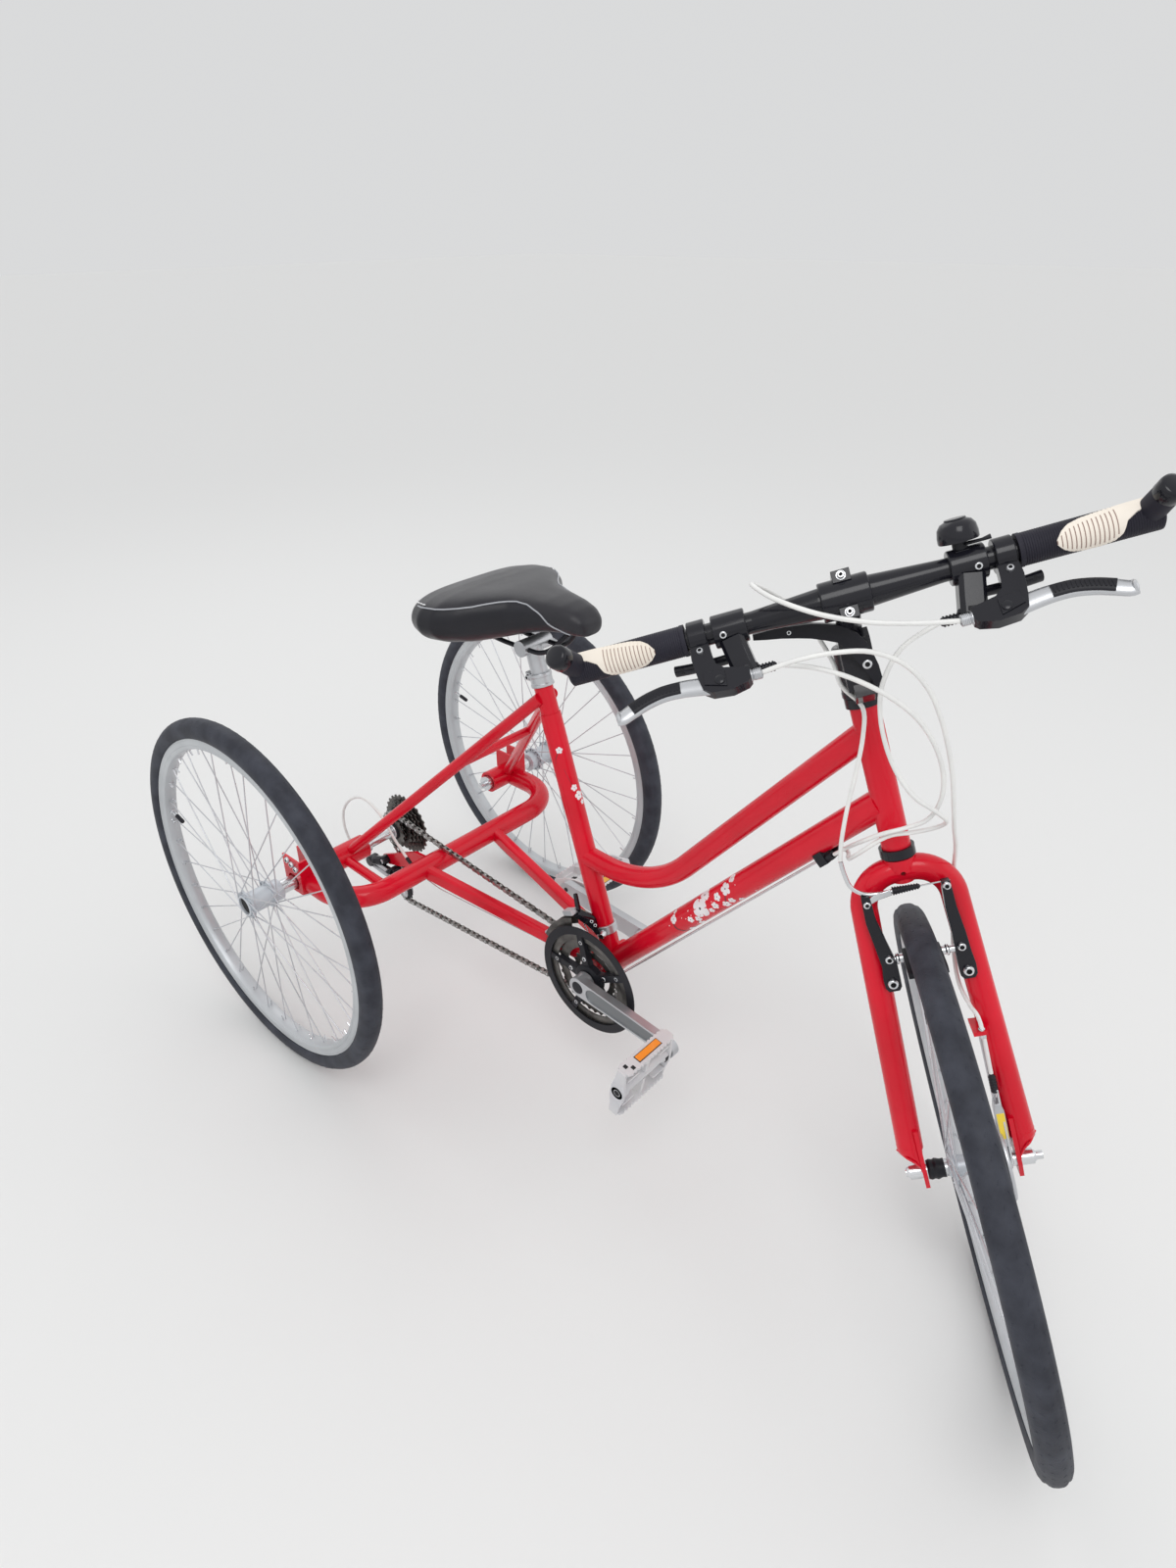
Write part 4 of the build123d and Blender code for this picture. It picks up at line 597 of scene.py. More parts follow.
# Saddle: stations from its rear edge to its nose, each the half width, top and bottom
saddleLook = {
    "postRise": 49,
    "rise": 62,
    "roundness": (0.62, 0.8),
    "dip": 3.0,
    "stations": [
        (-142, 84, -2, -26), (-139, 98, 8, -38), (-133, 110, 15, -45), (-120, 122, 21, -50),
        (-95, 132, 27, -52), (-70, 128, 30, -50),
        (-45, 110, 31, -46), (-20, 84, 32, -39), (5, 60, 32, -31), (30, 46, 31.5, -23), (55, 38, 31, -17),
        (80, 32.5, 28.5, -13),
        (100, 28.5, 23, -13), (112, 22.5, 15, -12), (117, 15, 6, -9),
    ],
    "seam": [
        (-142, 0.34), (-120, 0.33), (-90, 0.33), (-60, 0.335), (-30, 0.32), (-5, 0.27), (15, 0.25),
        (32, 0.29), (50, 0.4), (68, 0.56), (90, 0.74), (117, 0.8),
    ],
}
postHead = seatTop + seatUp * saddleLook["postRise"]


# A point on the cover: v runs from 0 on top to 1 underneath
def saddlePoint(x, v, side, lift=0.0):
    half, top, bottom = between(saddleLook["stations"], x)
    a = v * math.pi
    wideRound, tallRound = saddleLook["roundness"]
    across = math.copysign(abs(math.sin(a)) ** wideRound, math.sin(a))
    upward = math.copysign(abs(math.cos(a)) ** tallRound, math.cos(a))
    middle = (top + bottom) / 2
    tall = (top - bottom) / 2
    dip = saddleLook["dip"] * math.exp(-((v / 0.16) ** 2)) * math.exp(-(((x + 70) / 55) ** 2))
    y = side * (half + lift) * across * (1 - 0.06 * max(0, -upward))
    z = middle + (tall + lift) * upward - dip
    return Vector((postHead.x + x, y, postHead.z + saddleLook["rise"] + z))


def saddleStations():
    xs = [row[0] for row in saddleLook["stations"]]
    fine = []
    for a, b in zip(xs, xs[1:]):
        steps = max(2, round((b - a) / 5))
        fine += [a + (b - a) * k / steps for k in range(steps)]
    return fine + [xs[-1]]


bm = bmesh.new()
rows = []
topSteps, sideSteps = 14, 12
for x in saddleStations():
    seam = between(saddleLook["seam"], x)[0]
    levels = [seam * k / topSteps for k in range(topSteps)]
    levels += [seam + (1 - seam) * k / sideSteps for k in range(sideSteps + 1)]
    right = [saddlePoint(x, v, -1) for v in levels]
    leftSide = [saddlePoint(x, v, 1) for v in levels[1:-1]][::-1]
    rows.append([bm.verts.new(p * 0.001) for p in right + leftSide])
around = len(rows[0])
for low, high in zip(rows, rows[1:]):
    for k in range(around):
        n = (k + 1) % around
        face = bm.faces.new([low[k], low[n], high[n], high[k]])
        under = topSteps <= k < around - topSteps
        face.material_index = 1 if under else 0
for row in (rows[0], rows[-1]):
    bm.faces.new(row)
saddle = finishPiece("saddleCover", bm, ["saddleVinyl", "sideVinyl"], "frame", ["saddle"], angle=75, levels=1)

bm = bmesh.new()
for side in (-1, 1):
    line = [
        saddlePoint(x, between(saddleLook["seam"], x)[0], side, 0.4)
        for x in saddleStations() if -112 < x < 98
    ]
    addSweep(bm, line, 1.1, 8)
finishPiece("saddlePiping", bm, ["pipingGrey"], "frame")

# Stitches along both rear edges, one dash at a time
bm = bmesh.new()
stitch = {"rear": -141, "near": -92, "far": -50, "pitch": 10.5, "length": 6.4, "level": 0.3}
trail = [
    saddlePoint(-0.5 * k, stitch["level"], -1, 0.8)
    for k in range(-2 * stitch["near"], -2 * stitch["rear"])
]
for side, order in ((-1, 1), (1, -1)):
    turn = [saddlePoint(stitch["rear"], stitch["level"] * (1 - k / 60), side, 0.8) for k in range(60)]
    trail += turn[::order]
trail += [saddlePoint(0.5 * k, stitch["level"], 1, 0.8) for k in range(2 * stitch["rear"], 2 * stitch["far"])]
travelled = 0.0
dash = []
for a, b in zip(trail, trail[1:]):
    travelled += (b - a).length
    if travelled % stitch["pitch"] < stitch["length"]:
        dash.append(b)
    else:
        if len(dash) > 1:
            addSweep(bm, [dash[0], dash[len(dash) // 2], dash[-1]], 1.0, 6)
        dash = []
finishPiece("saddleStitches", bm, ["stitchWhite"], "frame")
print("stage: saddle made")

# Cockpit: everything here rides on the steering
barPlace = placeAt(atBar(0), steerUp, steerForward, steerLeft)
sideSteer = placeAt(layout["steeringFoot"], steerForward, steerUp, -steerLeft)
frontSteer = placeAt(layout["steeringFoot"], steerLeft, steerUp, steerForward)


# The outline of a flat arm through (x, y, half width) stations, in order along it
def strapOutline(stations):
    count = len(stations)
    left, right = [], []
    for k, (x, y, half) in enumerate(stations):
        before, after = stations[max(k - 1, 0)], stations[min(k + 1, count - 1)]
        way = Vector((after[0] - before[0], after[1] - before[1])).normalized()
        left.append((x - way.y * half, y + way.x * half))
        right.append((x + way.y * half, y - way.x * half))
    return left + right[::-1]


# Stem: collar, arm, bar clamp with its cap and two bolts, and the black cam block under the arm
stemLook = {
    "tilt": math.radians(20), "lug": 18.5, "capDepth": 19.5, "boltRadius": 3.8, "boltHeight": 3.6,
    "armFoot": 622.5,
    "collar": [
        (12, 582.6), (20.3, 582.6), (21, 583.4), (21, 589), (20.4, 589.6), (20.4, 634), (21, 634.6),
        (21, 638.8), (19.6, 640.4), (0, 640.4),
    ],
    "cam": [(14, 600), (57.5, 600), (57.5, 654), (48, 662), (14, 655)],
}
bm = bmesh.new()
addLathe(bm, steerPlace, stemLook["collar"], 48)
armRise = layout["barHeight"] - stemLook["armFoot"]
armLine = [atSteer(layout["barReach"] * t, 0, stemLook["armFoot"] + armRise * t) for t in (0, 0.3, 0.7, 1)]
addSweep(bm, armLine, [14.5, 12.8, 12.8, 14], 28)
addLathe(bm, barPlace, [(11.4, -24), (18.9, -24), (19.8, -23), (19.8, 23), (18.9, 24), (11.4, 24)], 48)
addPrism(bm, sideSteer, stemLook["cam"], -17, 15)
addPrism(bm, sideSteer, strapOutline([(10, 588, 9), (40, 592, 9), (60, 602, 8)]), -10, 10)
capWay = steerForward * math.cos(stemLook["tilt"]) + steerUp * math.sin(stemLook["tilt"])
capUp = steerUp * math.cos(stemLook["tilt"]) - steerForward * math.sin(stemLook["tilt"])
capPlace = placeAt(atBar(0), steerLeft, capUp, steerLeft.cross(capUp))
for sense in (-1, 1):
    lug = stemLook["lug"] * sense
    addBlock(
        bm, capPlace, (-9, min(lug - 6, lug + 6), -8), (9, max(lug - 6, lug + 6), stemLook["capDepth"] - 3),
    )
    seat = atBar(0) + capUp * lug + capWay * (stemLook["capDepth"] - 3)
    addLathe(bm, alongPlace(seat, capWay), [(0, 0), (4.9, 0), (4.9, 1), (0, 1)], 24, part=1)
    addBolt(bm, seat + capWay, capWay, stemLook["boltRadius"], stemLook["boltHeight"], 1, 2)
finishPiece(
    "stemBody", bm, ["glossBlack", "polishedSteel", "paintedRecessShade"], "steering", ["stem"], bevel=1.2, angle=35,
)

leverLook = {
    "low": 58, "high": 69.5,
    "points": [
        (-96, 684, 6), (-82, 682.5, 9), (-68, 681, 11), (-52, 678, 13), (-38, 675, 15), (-24, 670, 16.5),
        (-10, 664, 18), (-2, 655, 18.5), (4, 645, 19), (8, 634, 17), (12, 623, 14), (16, 606, 8),
    ],
}
bm = bmesh.new()
addPrism(
    bm, frontSteer, strapOutline([(y, s, size * 0.5) for y, s, size in leverLook["points"]]),
    leverLook["low"], leverLook["high"],
)
addBolt(bm, atSteer(leverLook["high"] - 0.3, 8, 628), steerForward, 5, 2.5, 1, 2)
addBolt(bm, atSteer(leverLook["high"] - 1, -60, 679.5), steerForward, 2.6, 1.2, 1, 2)
finishPiece(
    "stemLever", bm, ["satinBlack", "polishedSteel", "paintedRecessShade"], "steering", ["stem_lever"], bevel=2.2,
    angle=35,
)

# Grips: fine ribs round the barrel, a cream ribbed pad on the rider's side and a short horn
gripLook = {
    "start": 160, "end": 286, "rib": 2.2, "padFrom": 192, "stripTo": 280, "ribsTo": 0.62, "hornFrom": 273,
    "horn": (35, 16, 25),
    "pad": [
        (0, 84, 100), (0.06, 56, 124), (0.14, 34, 144), (0.27, 18, 160), (0.44, 8, 163), (0.56, 3, 150),
        (0.64, 0, 124), (0.69, -2, 84), (0.8, -4, 62), (1.0, -6, 46),
    ],
}


# A point on the horn, which bends forward, out and up from t = 0 to its tip at t = 1
def hornPoint(side, t):
    forward, out, up = gripLook["horn"]
    return atBar(side * (gripLook["hornFrom"] + out * t), forward * t, up * t)


bm = bmesh.new()
for side in (-1, 1):
    start, end = gripLook["start"], gripLook["end"]
    profile = [(11.3, start), (16.4, start), (16.4, start + 4)]
    spot = start + 5
    while spot < end - 3:
        profile += [(15.4, spot), (15.9, spot + 0.6), (15.9, spot + 1.5)]
        spot += gripLook["rib"]
    profile += [(15.6, end - 1.5), (13, end), (0, end)]
    addLathe(bm, barPlace, flipRows(profile, side), 40)
    addSweep(bm, [hornPoint(side, t) for t in (0, 0.2, 0.5, 0.72)], [12, 12.8, 12.6, 12.4], 28)
    addSweep(
        bm, [hornPoint(side, t) for t in (0.66, 0.68, 0.9, 0.97, 1.0)], [12.4, 13, 12.9, 12, 9], 28, part=2,
    )
    rows = []
    steps = int((gripLook["stripTo"] - gripLook["padFrom"]) / 0.8)
    for k in range(steps + 1):
        t = k / steps
        upper, lower = between(gripLook["pad"], t)
        radius = 16.3 if k % 5 == 0 and t < gripLook["ribsTo"] else 16.8
        turns = [math.radians(upper + (lower - upper) * j / 20) for j in range(21)]
        height = side * (gripLook["padFrom"] + (gripLook["stripTo"] - gripLook["padFrom"]) * t)
        edge = [radius if 0 < j < 20 else 15.2 for j in range(21)]
        spots = [Vector((r * math.cos(a), r * math.sin(a), height)) for r, a in zip(edge, turns)]
        rows.append([bm.verts.new(barPlace @ spot) for spot in spots])
    for k, (near, far) in enumerate(zip(rows, rows[1:])):
        for j in range(20):
            # Every fifth row's groove faces take the darkened cream of painted shade
            groove = k % 5 == 0 and k < steps * gripLook["ribsTo"] and 3 < j < 17
            bm.faces.new([near[j], near[j + 1], far[j + 1], far[j]]).material_index = 3 if groove else 1
finishPiece(
    "gripPair", bm, ["gripBlack", "gripCream", "glossBlack", "paintedGrooveShade"], "steering", ["grips"], angle=50,
)

# Perches, brake levers and shifters, one of each a side
perchRun = (steerForward * 44 - steerUp * 47).normalized()
perchLook = {
    "y": 148, "thick": 6.8, "band": 17, "bandHalf": 9,
    "outline": [
        (-9, 6), (9, 6), (10, 30), (7, 52), (4, 66), (-4, 72), (-24, 74), (-40, 70), (-44, 66), (-44, 53),
        (-20, 47), (-13, 40), (-11, 30),
    ],
    "blade": [(-6, 61), (10, 58), (26, 56), (44, 56), (62, 60), (78, 66.5), (88, 71), (93, 71)],
}
perchFace = perchRun.cross(steerLeft).normalized()
perches, blades = bmesh.new(), bmesh.new()
for side in (-1, 1):
    place = placeAt(atBar(side * perchLook["y"]), steerLeft * side, perchRun, perchFace)
    addPrism(perches, place, perchLook["outline"], -perchLook["thick"], perchLook["thick"])
    addPrism(
        perches, place, [(-20, 51), (0, 48), (2, 62), (-20, 69)], perchLook["thick"] - 1,
        perchLook["thick"] + 1.5,
    )
    band = barPlace @ Matrix.Translation((0, 0, side * perchLook["y"]))
    wide, half = perchLook["band"], perchLook["bandHalf"]
    ring = [(11.3, half), (wide - 0.8, half), (wide, half - 0.8)]
    addLathe(perches, band, flipRows(ring, -1) + ring[::-1], 40)
    addBolt(perches, place @ Vector((0, 22, perchLook["thick"] - 0.3)) * 1000, perchFace, 3.6, 3, 1, 2)
    cap = alongPlace(place @ Vector((-14, 61, perchLook["thick"] + 1)) * 1000, perchFace)
    addLathe(perches, cap, [(0, 0), (5.2, 0), (5.2, 1.4), (3.6, 2.2), (0, 2.2)], 20)
    barrel = alongPlace(place @ Vector((-43, 60, 0)) * 1000, steerLeft * -side)
    knurl = ribRows(5, 1.6, [(6, 3.6), (6, 4.4), (5.4, 4.9)])
    addLathe(
        perches, barrel, [(0, -2), (6.4, -2), (6.4, 2), (5, 2.4), (5, 3.2)] + knurl + [(4, 12), (3, 12.2)],
        18, part=1,
    )
    line = smoothLine([place @ Vector((out, down, 0)) * 1000 for out, down in perchLook["blade"]], 4)
    sizes = [10 - 2.2 * (k / len(line)) for k in range(len(line))]
    flats = [(1.0, 0.55)] * len(line)
    addSweep(blades, line, sizes, 20, flat=flats, wideWay=perchRun)
    ball = line[-1] - (line[-1] - line[-4]).normalized()
    addSweep(
        blades, [ball + steerLeft * side * d for d in (-3, -1.5, 0, 1.5, 2.6)], [4.6, 6.6, 7.4, 6.6, 4], 16,
    )
    inset = smoothLine([place @ Vector((out, down, 4.2)) * 1000 for out, down in perchLook["blade"][2:6]], 5)
    addSweep(blades, inset, 7, 14, part=1, flat=(1.0, 0.32), wideWay=perchRun)
    for k in range(1, len(inset) - 1):
        addBlock(
            blades, placeAt(inset[k], steerLeft * side, perchRun, perchFace), (-0.7, -3.6, 1.4),
            (0.7, 3.6, 2.7), 1,
        )
finishPiece(
    "perchPair", perches, ["glossBlack", "silverAlloy", "paintedRecessShade"], "steering", ["brake_perches"],
    bevel=1.3, angle=35,
)
finishPiece("bladePair", blades, ["silverAlloy", "satinBlack"], "steering", ["brake_levers"], angle=45)

shifterLook = {
    "half": (12.5, 12.5), "chamfer": 4, "length": 19, "bandY": 115,
    "thumb": [(94, 112, 674), (90, 136, 672.5), (85, 160, 671.5), (80, 180, 672)],
}


# A rectangle with its four corners cut off
def cutCorners(wide, deep, cut):
    corner = [(wide - cut, -deep), (wide, -deep + cut), (wide, deep - cut), (wide - cut, deep)]
    return [(-wide, -deep + cut), (-wide + cut, -deep)] + corner + [(-wide + cut, deep), (-wide, deep - cut)]


bm = bmesh.new()
for side in (-1, 1):
    top, foot = atSteer(94, side * shifterLook["bandY"], 692), atSteer(110, side * 108, 656)
    run = (foot - top).normalized()
    across, over, way = axesOn(run, steerForward)
    middle = (top + foot) / 2
    pod = placeAt(middle, across, over, way)
    length = shifterLook["length"]
    addPrism(bm, pod, cutCorners(*shifterLook["half"], shifterLook["chamfer"]), -length, length)
    addPrism(bm, pod, circle(14, 28), length - 6, length - 1.5, 1)
    addPrism(bm, pod, circle(10.5, 28), length - 2, length + 2.2)
    addLathe(bm, pod, [(0, -length - 2.5), (7, -length - 2.5), (10.5, -length - 1), (10.5, -length + 2)], 28)
    band = barPlace @ Matrix.Translation((0, 0, side * shifterLook["bandY"]))
    addLathe(bm, band, [(11.3, -17), (16.2, -17), (17, -16), (17, 16), (16.2, 17), (11.3, 17)], 40)
    addBolt(bm, atBar(side * 122, 16.5, -2), steerForward, 4, 2.6, 2, 3)
    addBolt(bm, foot + run * 1.2 - steerForward * 2, run, 5, 2.4, 2, 3)
    thumb = smoothLine(steerRun(shifterLook["thumb"], side), 5)
    addSweep(bm, thumb, [5.2 + 0.8 * (k / 15) for k in range(len(thumb))], 18, flat=(0.78, 1.0))
    # The thumb lever's dimple is a near-black disc of painted shade
    dimple = alongPlace(atSteer(86.6, side * 172, 671.8), steerForward)
    addLathe(bm, dimple, [(0, 0.4), (2.6, 0.4), (3.1, 0), (3.1, -1)], 16, part=3)
    nozzle = alongPlace(atSteer(110, side * 106, 658), steerLeft * -side)
    ribs = ribRows(6, 3.3, [(5.4, 7), (5.4, 8.6), (4.3, 9), (4.3, 10)])
    addLathe(bm, nozzle, [(0, 0), (6, 0), (6, 6)] + ribs + [(2.4, 28)], 18)
finishPiece(
    "shifterPair", bm, ["glossBlack", "satinBlack", "polishedSteel", "paintedRecessShade"], "steering", ["shifters"],
    bevel=0.8, angle=35,
)

bellLook = {
    "y": 112,
    "dome": [
        (0, 747), (9.6, 747), (10, 746.6), (10.2, 745.4), (14.5, 743.6), (17.8, 739), (19, 732), (19, 726.6),
        (18.4, 725.4), (17.2, 725.4), (17, 730), (0, 731),
    ],
}
bm = bmesh.new()
bellPlace = placeAt(atSteer(layout["barReach"], bellLook["y"], 0), steerForward, steerLeft, steerUp)
addLathe(bm, bellPlace, bellLook["dome"], 48)
addLathe(bm, bellPlace, [(7, 716), (7, 725), (5, 727), (5, 731)], 24, part=1)
addBlock(bm, bellPlace, (-9, -6, 712), (9, 6, 717), 1)
addSweep(
    bm, [atSteer(94, 118, 722), atSteer(100, 130, 722.5), atSteer(101, 138, 723.5)], [2.6, 2.2, 3.4], 14,
    part=1, flat=(1.2, 0.7),
)
finishPiece("bellBody", bm, ["glossBlack", "satinBlack"], "steering", ["bell"], angle=32)
print("stage: cockpit made")

# Rim brake: arms on their bosses, shoes, the noodle and its boot
brakeLook = {
    "arms": ((-39, -47), (45, 41)), "armDepth": (26, 36.5), "pivot": 250, "pad": 277, "shoe": (15, 74),
}
shoeNear, shoeFar = brakeLook["shoe"]
shoeOutline = [
    (shoeNear, -3.5), (shoeNear + 3, -5), (68, -6.5), (shoeFar, -5), (shoeFar, 2), (68, 3.6), (20, 5),
    (shoeNear, 3.5),
]
bm = bmesh.new()
for low, high in brakeLook["arms"]:
    sense = 1 if low > 0 else -1
    mid = low + (high - low) * 0.35
    arm = [
        (low, 239, 6), (low, 244, 9.2), (low, 256, 9.6), (low - sense, 272, 8.6), (mid, 296, 7.4),
        (high, 330, 6), (high, 352, 5.2), (high, 362, 4.6),
    ]
    addPrism(bm, frontSteer, strapOutline(arm), *brakeLook["armDepth"])
    addLathe(
        bm, placeAt(atSteer(0, low, brakeLook["pivot"]), steerLeft, steerUp, steerForward),
        [(8, 20), (8, 26.5)], 24,
    )
    addBolt(bm, atSteer(36.3, low, brakeLook["pivot"]), steerForward, 6.2, 5, 1, 2)
    addBolt(bm, atSteer(36.3, low - 2 * sense, 281), steerForward, 5, 4.4, 1, 2)
    washers = [(0, 21), (5.4, 21), (5.4, 26), (6.6, 26.4), (6.6, 29), (4.4, 29.4), (4.4, 36)]
    washerPlace = placeAt(atSteer(31, 0, brakeLook["pad"]), steerUp, steerForward, steerLeft)
    addLathe(bm, washerPlace, flipRows(washers, sense), 20, part=1)
    shoePlace = placeAt(atSteer(0, 0, brakeLook["pad"]), steerForward, steerUp, -steerLeft)
    addPrism(bm, shoePlace, shoeOutline, *sorted((-15.1 * sense, -21.6 * sense)), part=3)
addPrism(bm, frontSteer, strapOutline([(-50, 352, 3.4), (-34, 358.5, 3.8), (-18, 361, 3.6)]), 33.5, 35.2, 1)
addBolt(bm, atSteer(36.2, 41, 357), steerForward, 4.6, 3.6, 1, 2)
addBolt(bm, atSteer(36.2, -47, 352), steerForward, 4.2, 2.6, 1, 2)
finishPiece(
    "rimBrake", bm, ["glossBlack", "polishedSteel", "paintedRecessShade", "satinBlack"], "steering", ["brake_arms"],
    bevel=0.7, angle=35,
)

noodleLook = {
    "run": [
        (34, -64, 409.3), (32.6, -63.4, 394), (32, -60, 376), (31, -48, 364), (31, -32, 360.6),
        (31, -16, 360.5),
    ],
    "radius": 2.5,
}
bm = bmesh.new()
addSweep(bm, smoothLine(steerRun(noodleLook["run"]), 5), noodleLook["radius"], 14)
boot = placeAt(atSteer(31, 0, 360.5), steerUp, steerForward, steerLeft)
folds = ribRows(10, 3, [(4.9, -16.6), (4.9, -15.4), (3.9, -14.9), (3.9, -14.0)], shrink=0.16)
addLathe(bm, boot, [(2.5, -17)] + folds + [(1, 14)], 18, part=1)
addSweep(bm, [atSteer(31, 13, 360.5), atSteer(31, 46, 360.5)], 0.9, 8)
finishPiece("noodleTube", bm, ["polishedSteel", "satinBlack"], "steering", ["brake_noodle"], angle=40)

# Drum brake: its plate, the long reaction arm with a plain yellow panel, and the cable's bellows
drumLook = {
    "plate": [
        (5.2, 37), (43.5, 37), (46, 37.6), (46, 40.2), (44.5, 41.4), (38, 41.8), (36, 40.6), (22, 40.6),
        (20, 42.2), (12, 42.2), (11, 46), (5.2, 46),
    ],
    "arm": [
        (-10, -2, 12), (14, -3, 13), (40, -5, 11), (80, -8.5, 8.6), (120, -12, 7), (160, -14.6, 6.2),
        (174, -15.4, 5.4),
    ],
    "bracket": [(38.2, 26), (49, 24), (49, 74), (46, 84), (40, 84), (38.2, 74)],
    "panel": [(39.2, 36), (48.4, 36), (48.2, 71), (39.4, 71)],
    "lever": [(0, 2, 9), (40, 5, 7), (96, 5, 4.2), (101, 5, 3.6)],
    "cable": (50, 44),
}
bm = bmesh.new()
addLathe(bm, frontWheelPlace, drumLook["plate"], 64)
addPrism(bm, frontWheelPlace, strapOutline(drumLook["arm"]), 41.5, 44.6)
addPrism(bm, frontSteer, drumLook["bracket"], 42, 55.5)
addPrism(bm, frontSteer, drumLook["panel"], 55, 56, 2)
addPrism(bm, frontWheelPlace, strapOutline(drumLook["lever"]), 45, 47.5, 1)
bellows = placeAt(atSteer(*drumLook["cable"], 0), steerForward, steerLeft, steerUp)
folds = ribRows(6, 3.6, [(4.4, 98.4), (4.4, 99.9), (3.2, 100.6), (3.2, 101.6)])
addLathe(bm, bellows, [(1, 97.5), (4.4, 97.5)] + folds + [(1, 121.5)], 18, part=3)
addLathe(bm, bellows, [(2.6, 170), (3.8, 170), (3.8, 182), (2.6, 183)], 14, part=1)
addBolt(bm, atSteer(45, 46.5, 0), steerLeft, 8.6, 4.6, 1, 1)
addBolt(bm, atSteer(30.4, 44.2, 166), steerLeft, 4.4, 3.4, 1, 4)
finishPiece(
    "drumPlate", bm, ["silverAlloy", "polishedSteel", "yellowPrint", "satinBlack", "paintedRecessShade"], "steering",
    ["drum_brake_plate"], bevel=0.8, angle=35,
)

# Front axle: its cone on the right, and a nut with a dome at each end
bm = bmesh.new()
cone = [
    (5.4, -50.5), (10.5, -50.5), (12, -47), (11, -43), (12.4, -40), (10.6, -34), (11.2, -30), (5.4, -28.5),
]
addLathe(bm, frontWheelPlace, cone, 32)
nut, dome = [
    (4, 57), (9.2, 57), (9.2, 58.6), (8.4, 59.2), (8.4, 66),
], [(8, 65.6), (8, 70.6), (5.4, 74.6), (0, 75.4)]
for side in (-1, 1):
    addLathe(bm, frontWheelPlace, flipRows(nut, side), 6, part=1)
    addLathe(bm, frontWheelPlace, flipRows(dome, side), 24, part=1)
finishPiece("axleNuts", bm, ["satinBlack", "polishedSteel"], "steering", angle=35)

# Fork tips: each blade's end closes in a slope down to its dropout
tipLook = {
    "slope": [(40.6, 64, 38), (41.2, 64, 31.5), (42, 61.6, 25), (43, 58.6, 17), (44, 56, 9), (45, 54.6, 0)],
    "radii": [15.45, 15.45, 15.2, 15, 14.6, 14.4],
    "flats": [(1, 1), (1, 0.99), (0.97, 0.8), (0.92, 0.5), (0.86, 0.24), (0.8, 0.17)],
    "seam": [(41.2, 79.6, 31), (56, 70, 28), (57.6, 62, 22), (56.8, 56.4, 12)],
}
bm = bmesh.new()
for side in (-1, 1):
    slope = steerRun(tipLook["slope"], side)
    addSweep(bm, slope, tipLook["radii"], 32, flat=tipLook["flats"], wideWay=steerForward)
    addSweep(bm, smoothLine(steerRun(tipLook["seam"], side), 5), 1.3, 8)
finishPiece("forkTips", bm, ["redEnamel"], "steering", angle=50)
print("stage: front brakes made")


# Drive
chainPitch = 12.7


# The outline of a toothed plate
def toothedOutline(teeth, root, tip):
    outline = []
    for k in range(teeth):
        for share, radius in ((-0.32, root), (-0.12, tip), (0.12, tip), (0.32, root)):
            turn = 2 * math.pi * (k + share) / teeth
            outline.append((radius * math.cos(turn), radius * math.sin(turn)))
    return outline


# The radius that a chain's pins lie on, round a sprocket
def pitchRadius(teeth):
    return chainPitch / 2 / math.sin(math.pi / teeth)


driveLook = {
    "rings": ((24, 46), (34, 52), (42, 58)), "guard": (80, 94.3, 61, 63.4), "arms": 5, "armStart": 31,
    "chainRing": 24, "chainSprocket": 16,
}
bm = bmesh.new()
for teeth, height in driveLook["rings"]:
    radius = pitchRadius(teeth)
    tip = radius - 4.3 if teeth == driveLook["chainRing"] else radius + 2.3
    addPrism(
        bm, crankPlace, toothedOutline(teeth, tip - 3.4, tip), height - 1, height + 1, 1,
        circle(radius - 17, teeth * 4),
    )
inner, outer, low, high = driveLook["guard"]
guard = [
    (inner, low), (outer - 0.6, low), (outer, low + 0.5), (outer, high - 0.5), (outer - 0.6, high),
    (inner + 0.6, high), (inner, high - 0.5),
]
addLathe(bm, crankPlace, guard, 96, closed=True)
spider = [(8.6, 44.2), (16, 44.2), (16, 51), (25, 51), (26, 52), (26, 62), (24, 63), (8.6, 63)]
addLathe(bm, crankPlace, spider, 48)
armLook = (
    (51, 61.5, ((18, 9), (30, 7), (48, 5.6), (62, 6), (64.5, 6.2))),
    (57.6, 62.4, ((60, 6), (76, 5.6), (88.5, 6.4))),
)
for k in range(driveLook["arms"]):
    turn = math.radians(driveLook["armStart"] + 360 / driveLook["arms"] * k)
    way = Vector((math.cos(turn), math.sin(turn)))
    for low, high, halves in armLook:
        stations = [(way.x * reach, way.y * reach, half) for reach, half in halves]
        addPrism(bm, crankPlace, strapOutline(stations), low, high)
    for reach in (37, 67):
        spot = crankPlace @ Vector((way.x * reach, way.y * reach, 60.5)) * 1000
        addBolt(bm, spot, -yWay, 4, 2, 2, 3)
finishPiece(
    "ringSet", bm, ["satinBlack", "darkSteel", "polishedSteel", "paintedRecessShade"], "crank", ["chainrings"],
    angle=35,
)

crankLook = {"fall": math.atan2(-13.7, 174.5), "length": 175, "low": 73.6, "high": 86.4, "panel": 84.4}


# The outline round two circles joined by straight sides
def linkOutline(length, first, second, start=0.0, steps=14):
    lean = math.asin((first - second) / (length - start))
    outline = []
    for centre, radius, base in ((start, first, 90), (length, second, -90)):
        for k in range(steps + 1):
            a = math.radians(base) - lean + (math.pi + 2 * lean) * k / steps
            outline.append((centre + radius * math.cos(a), radius * math.sin(a)))
    return outline


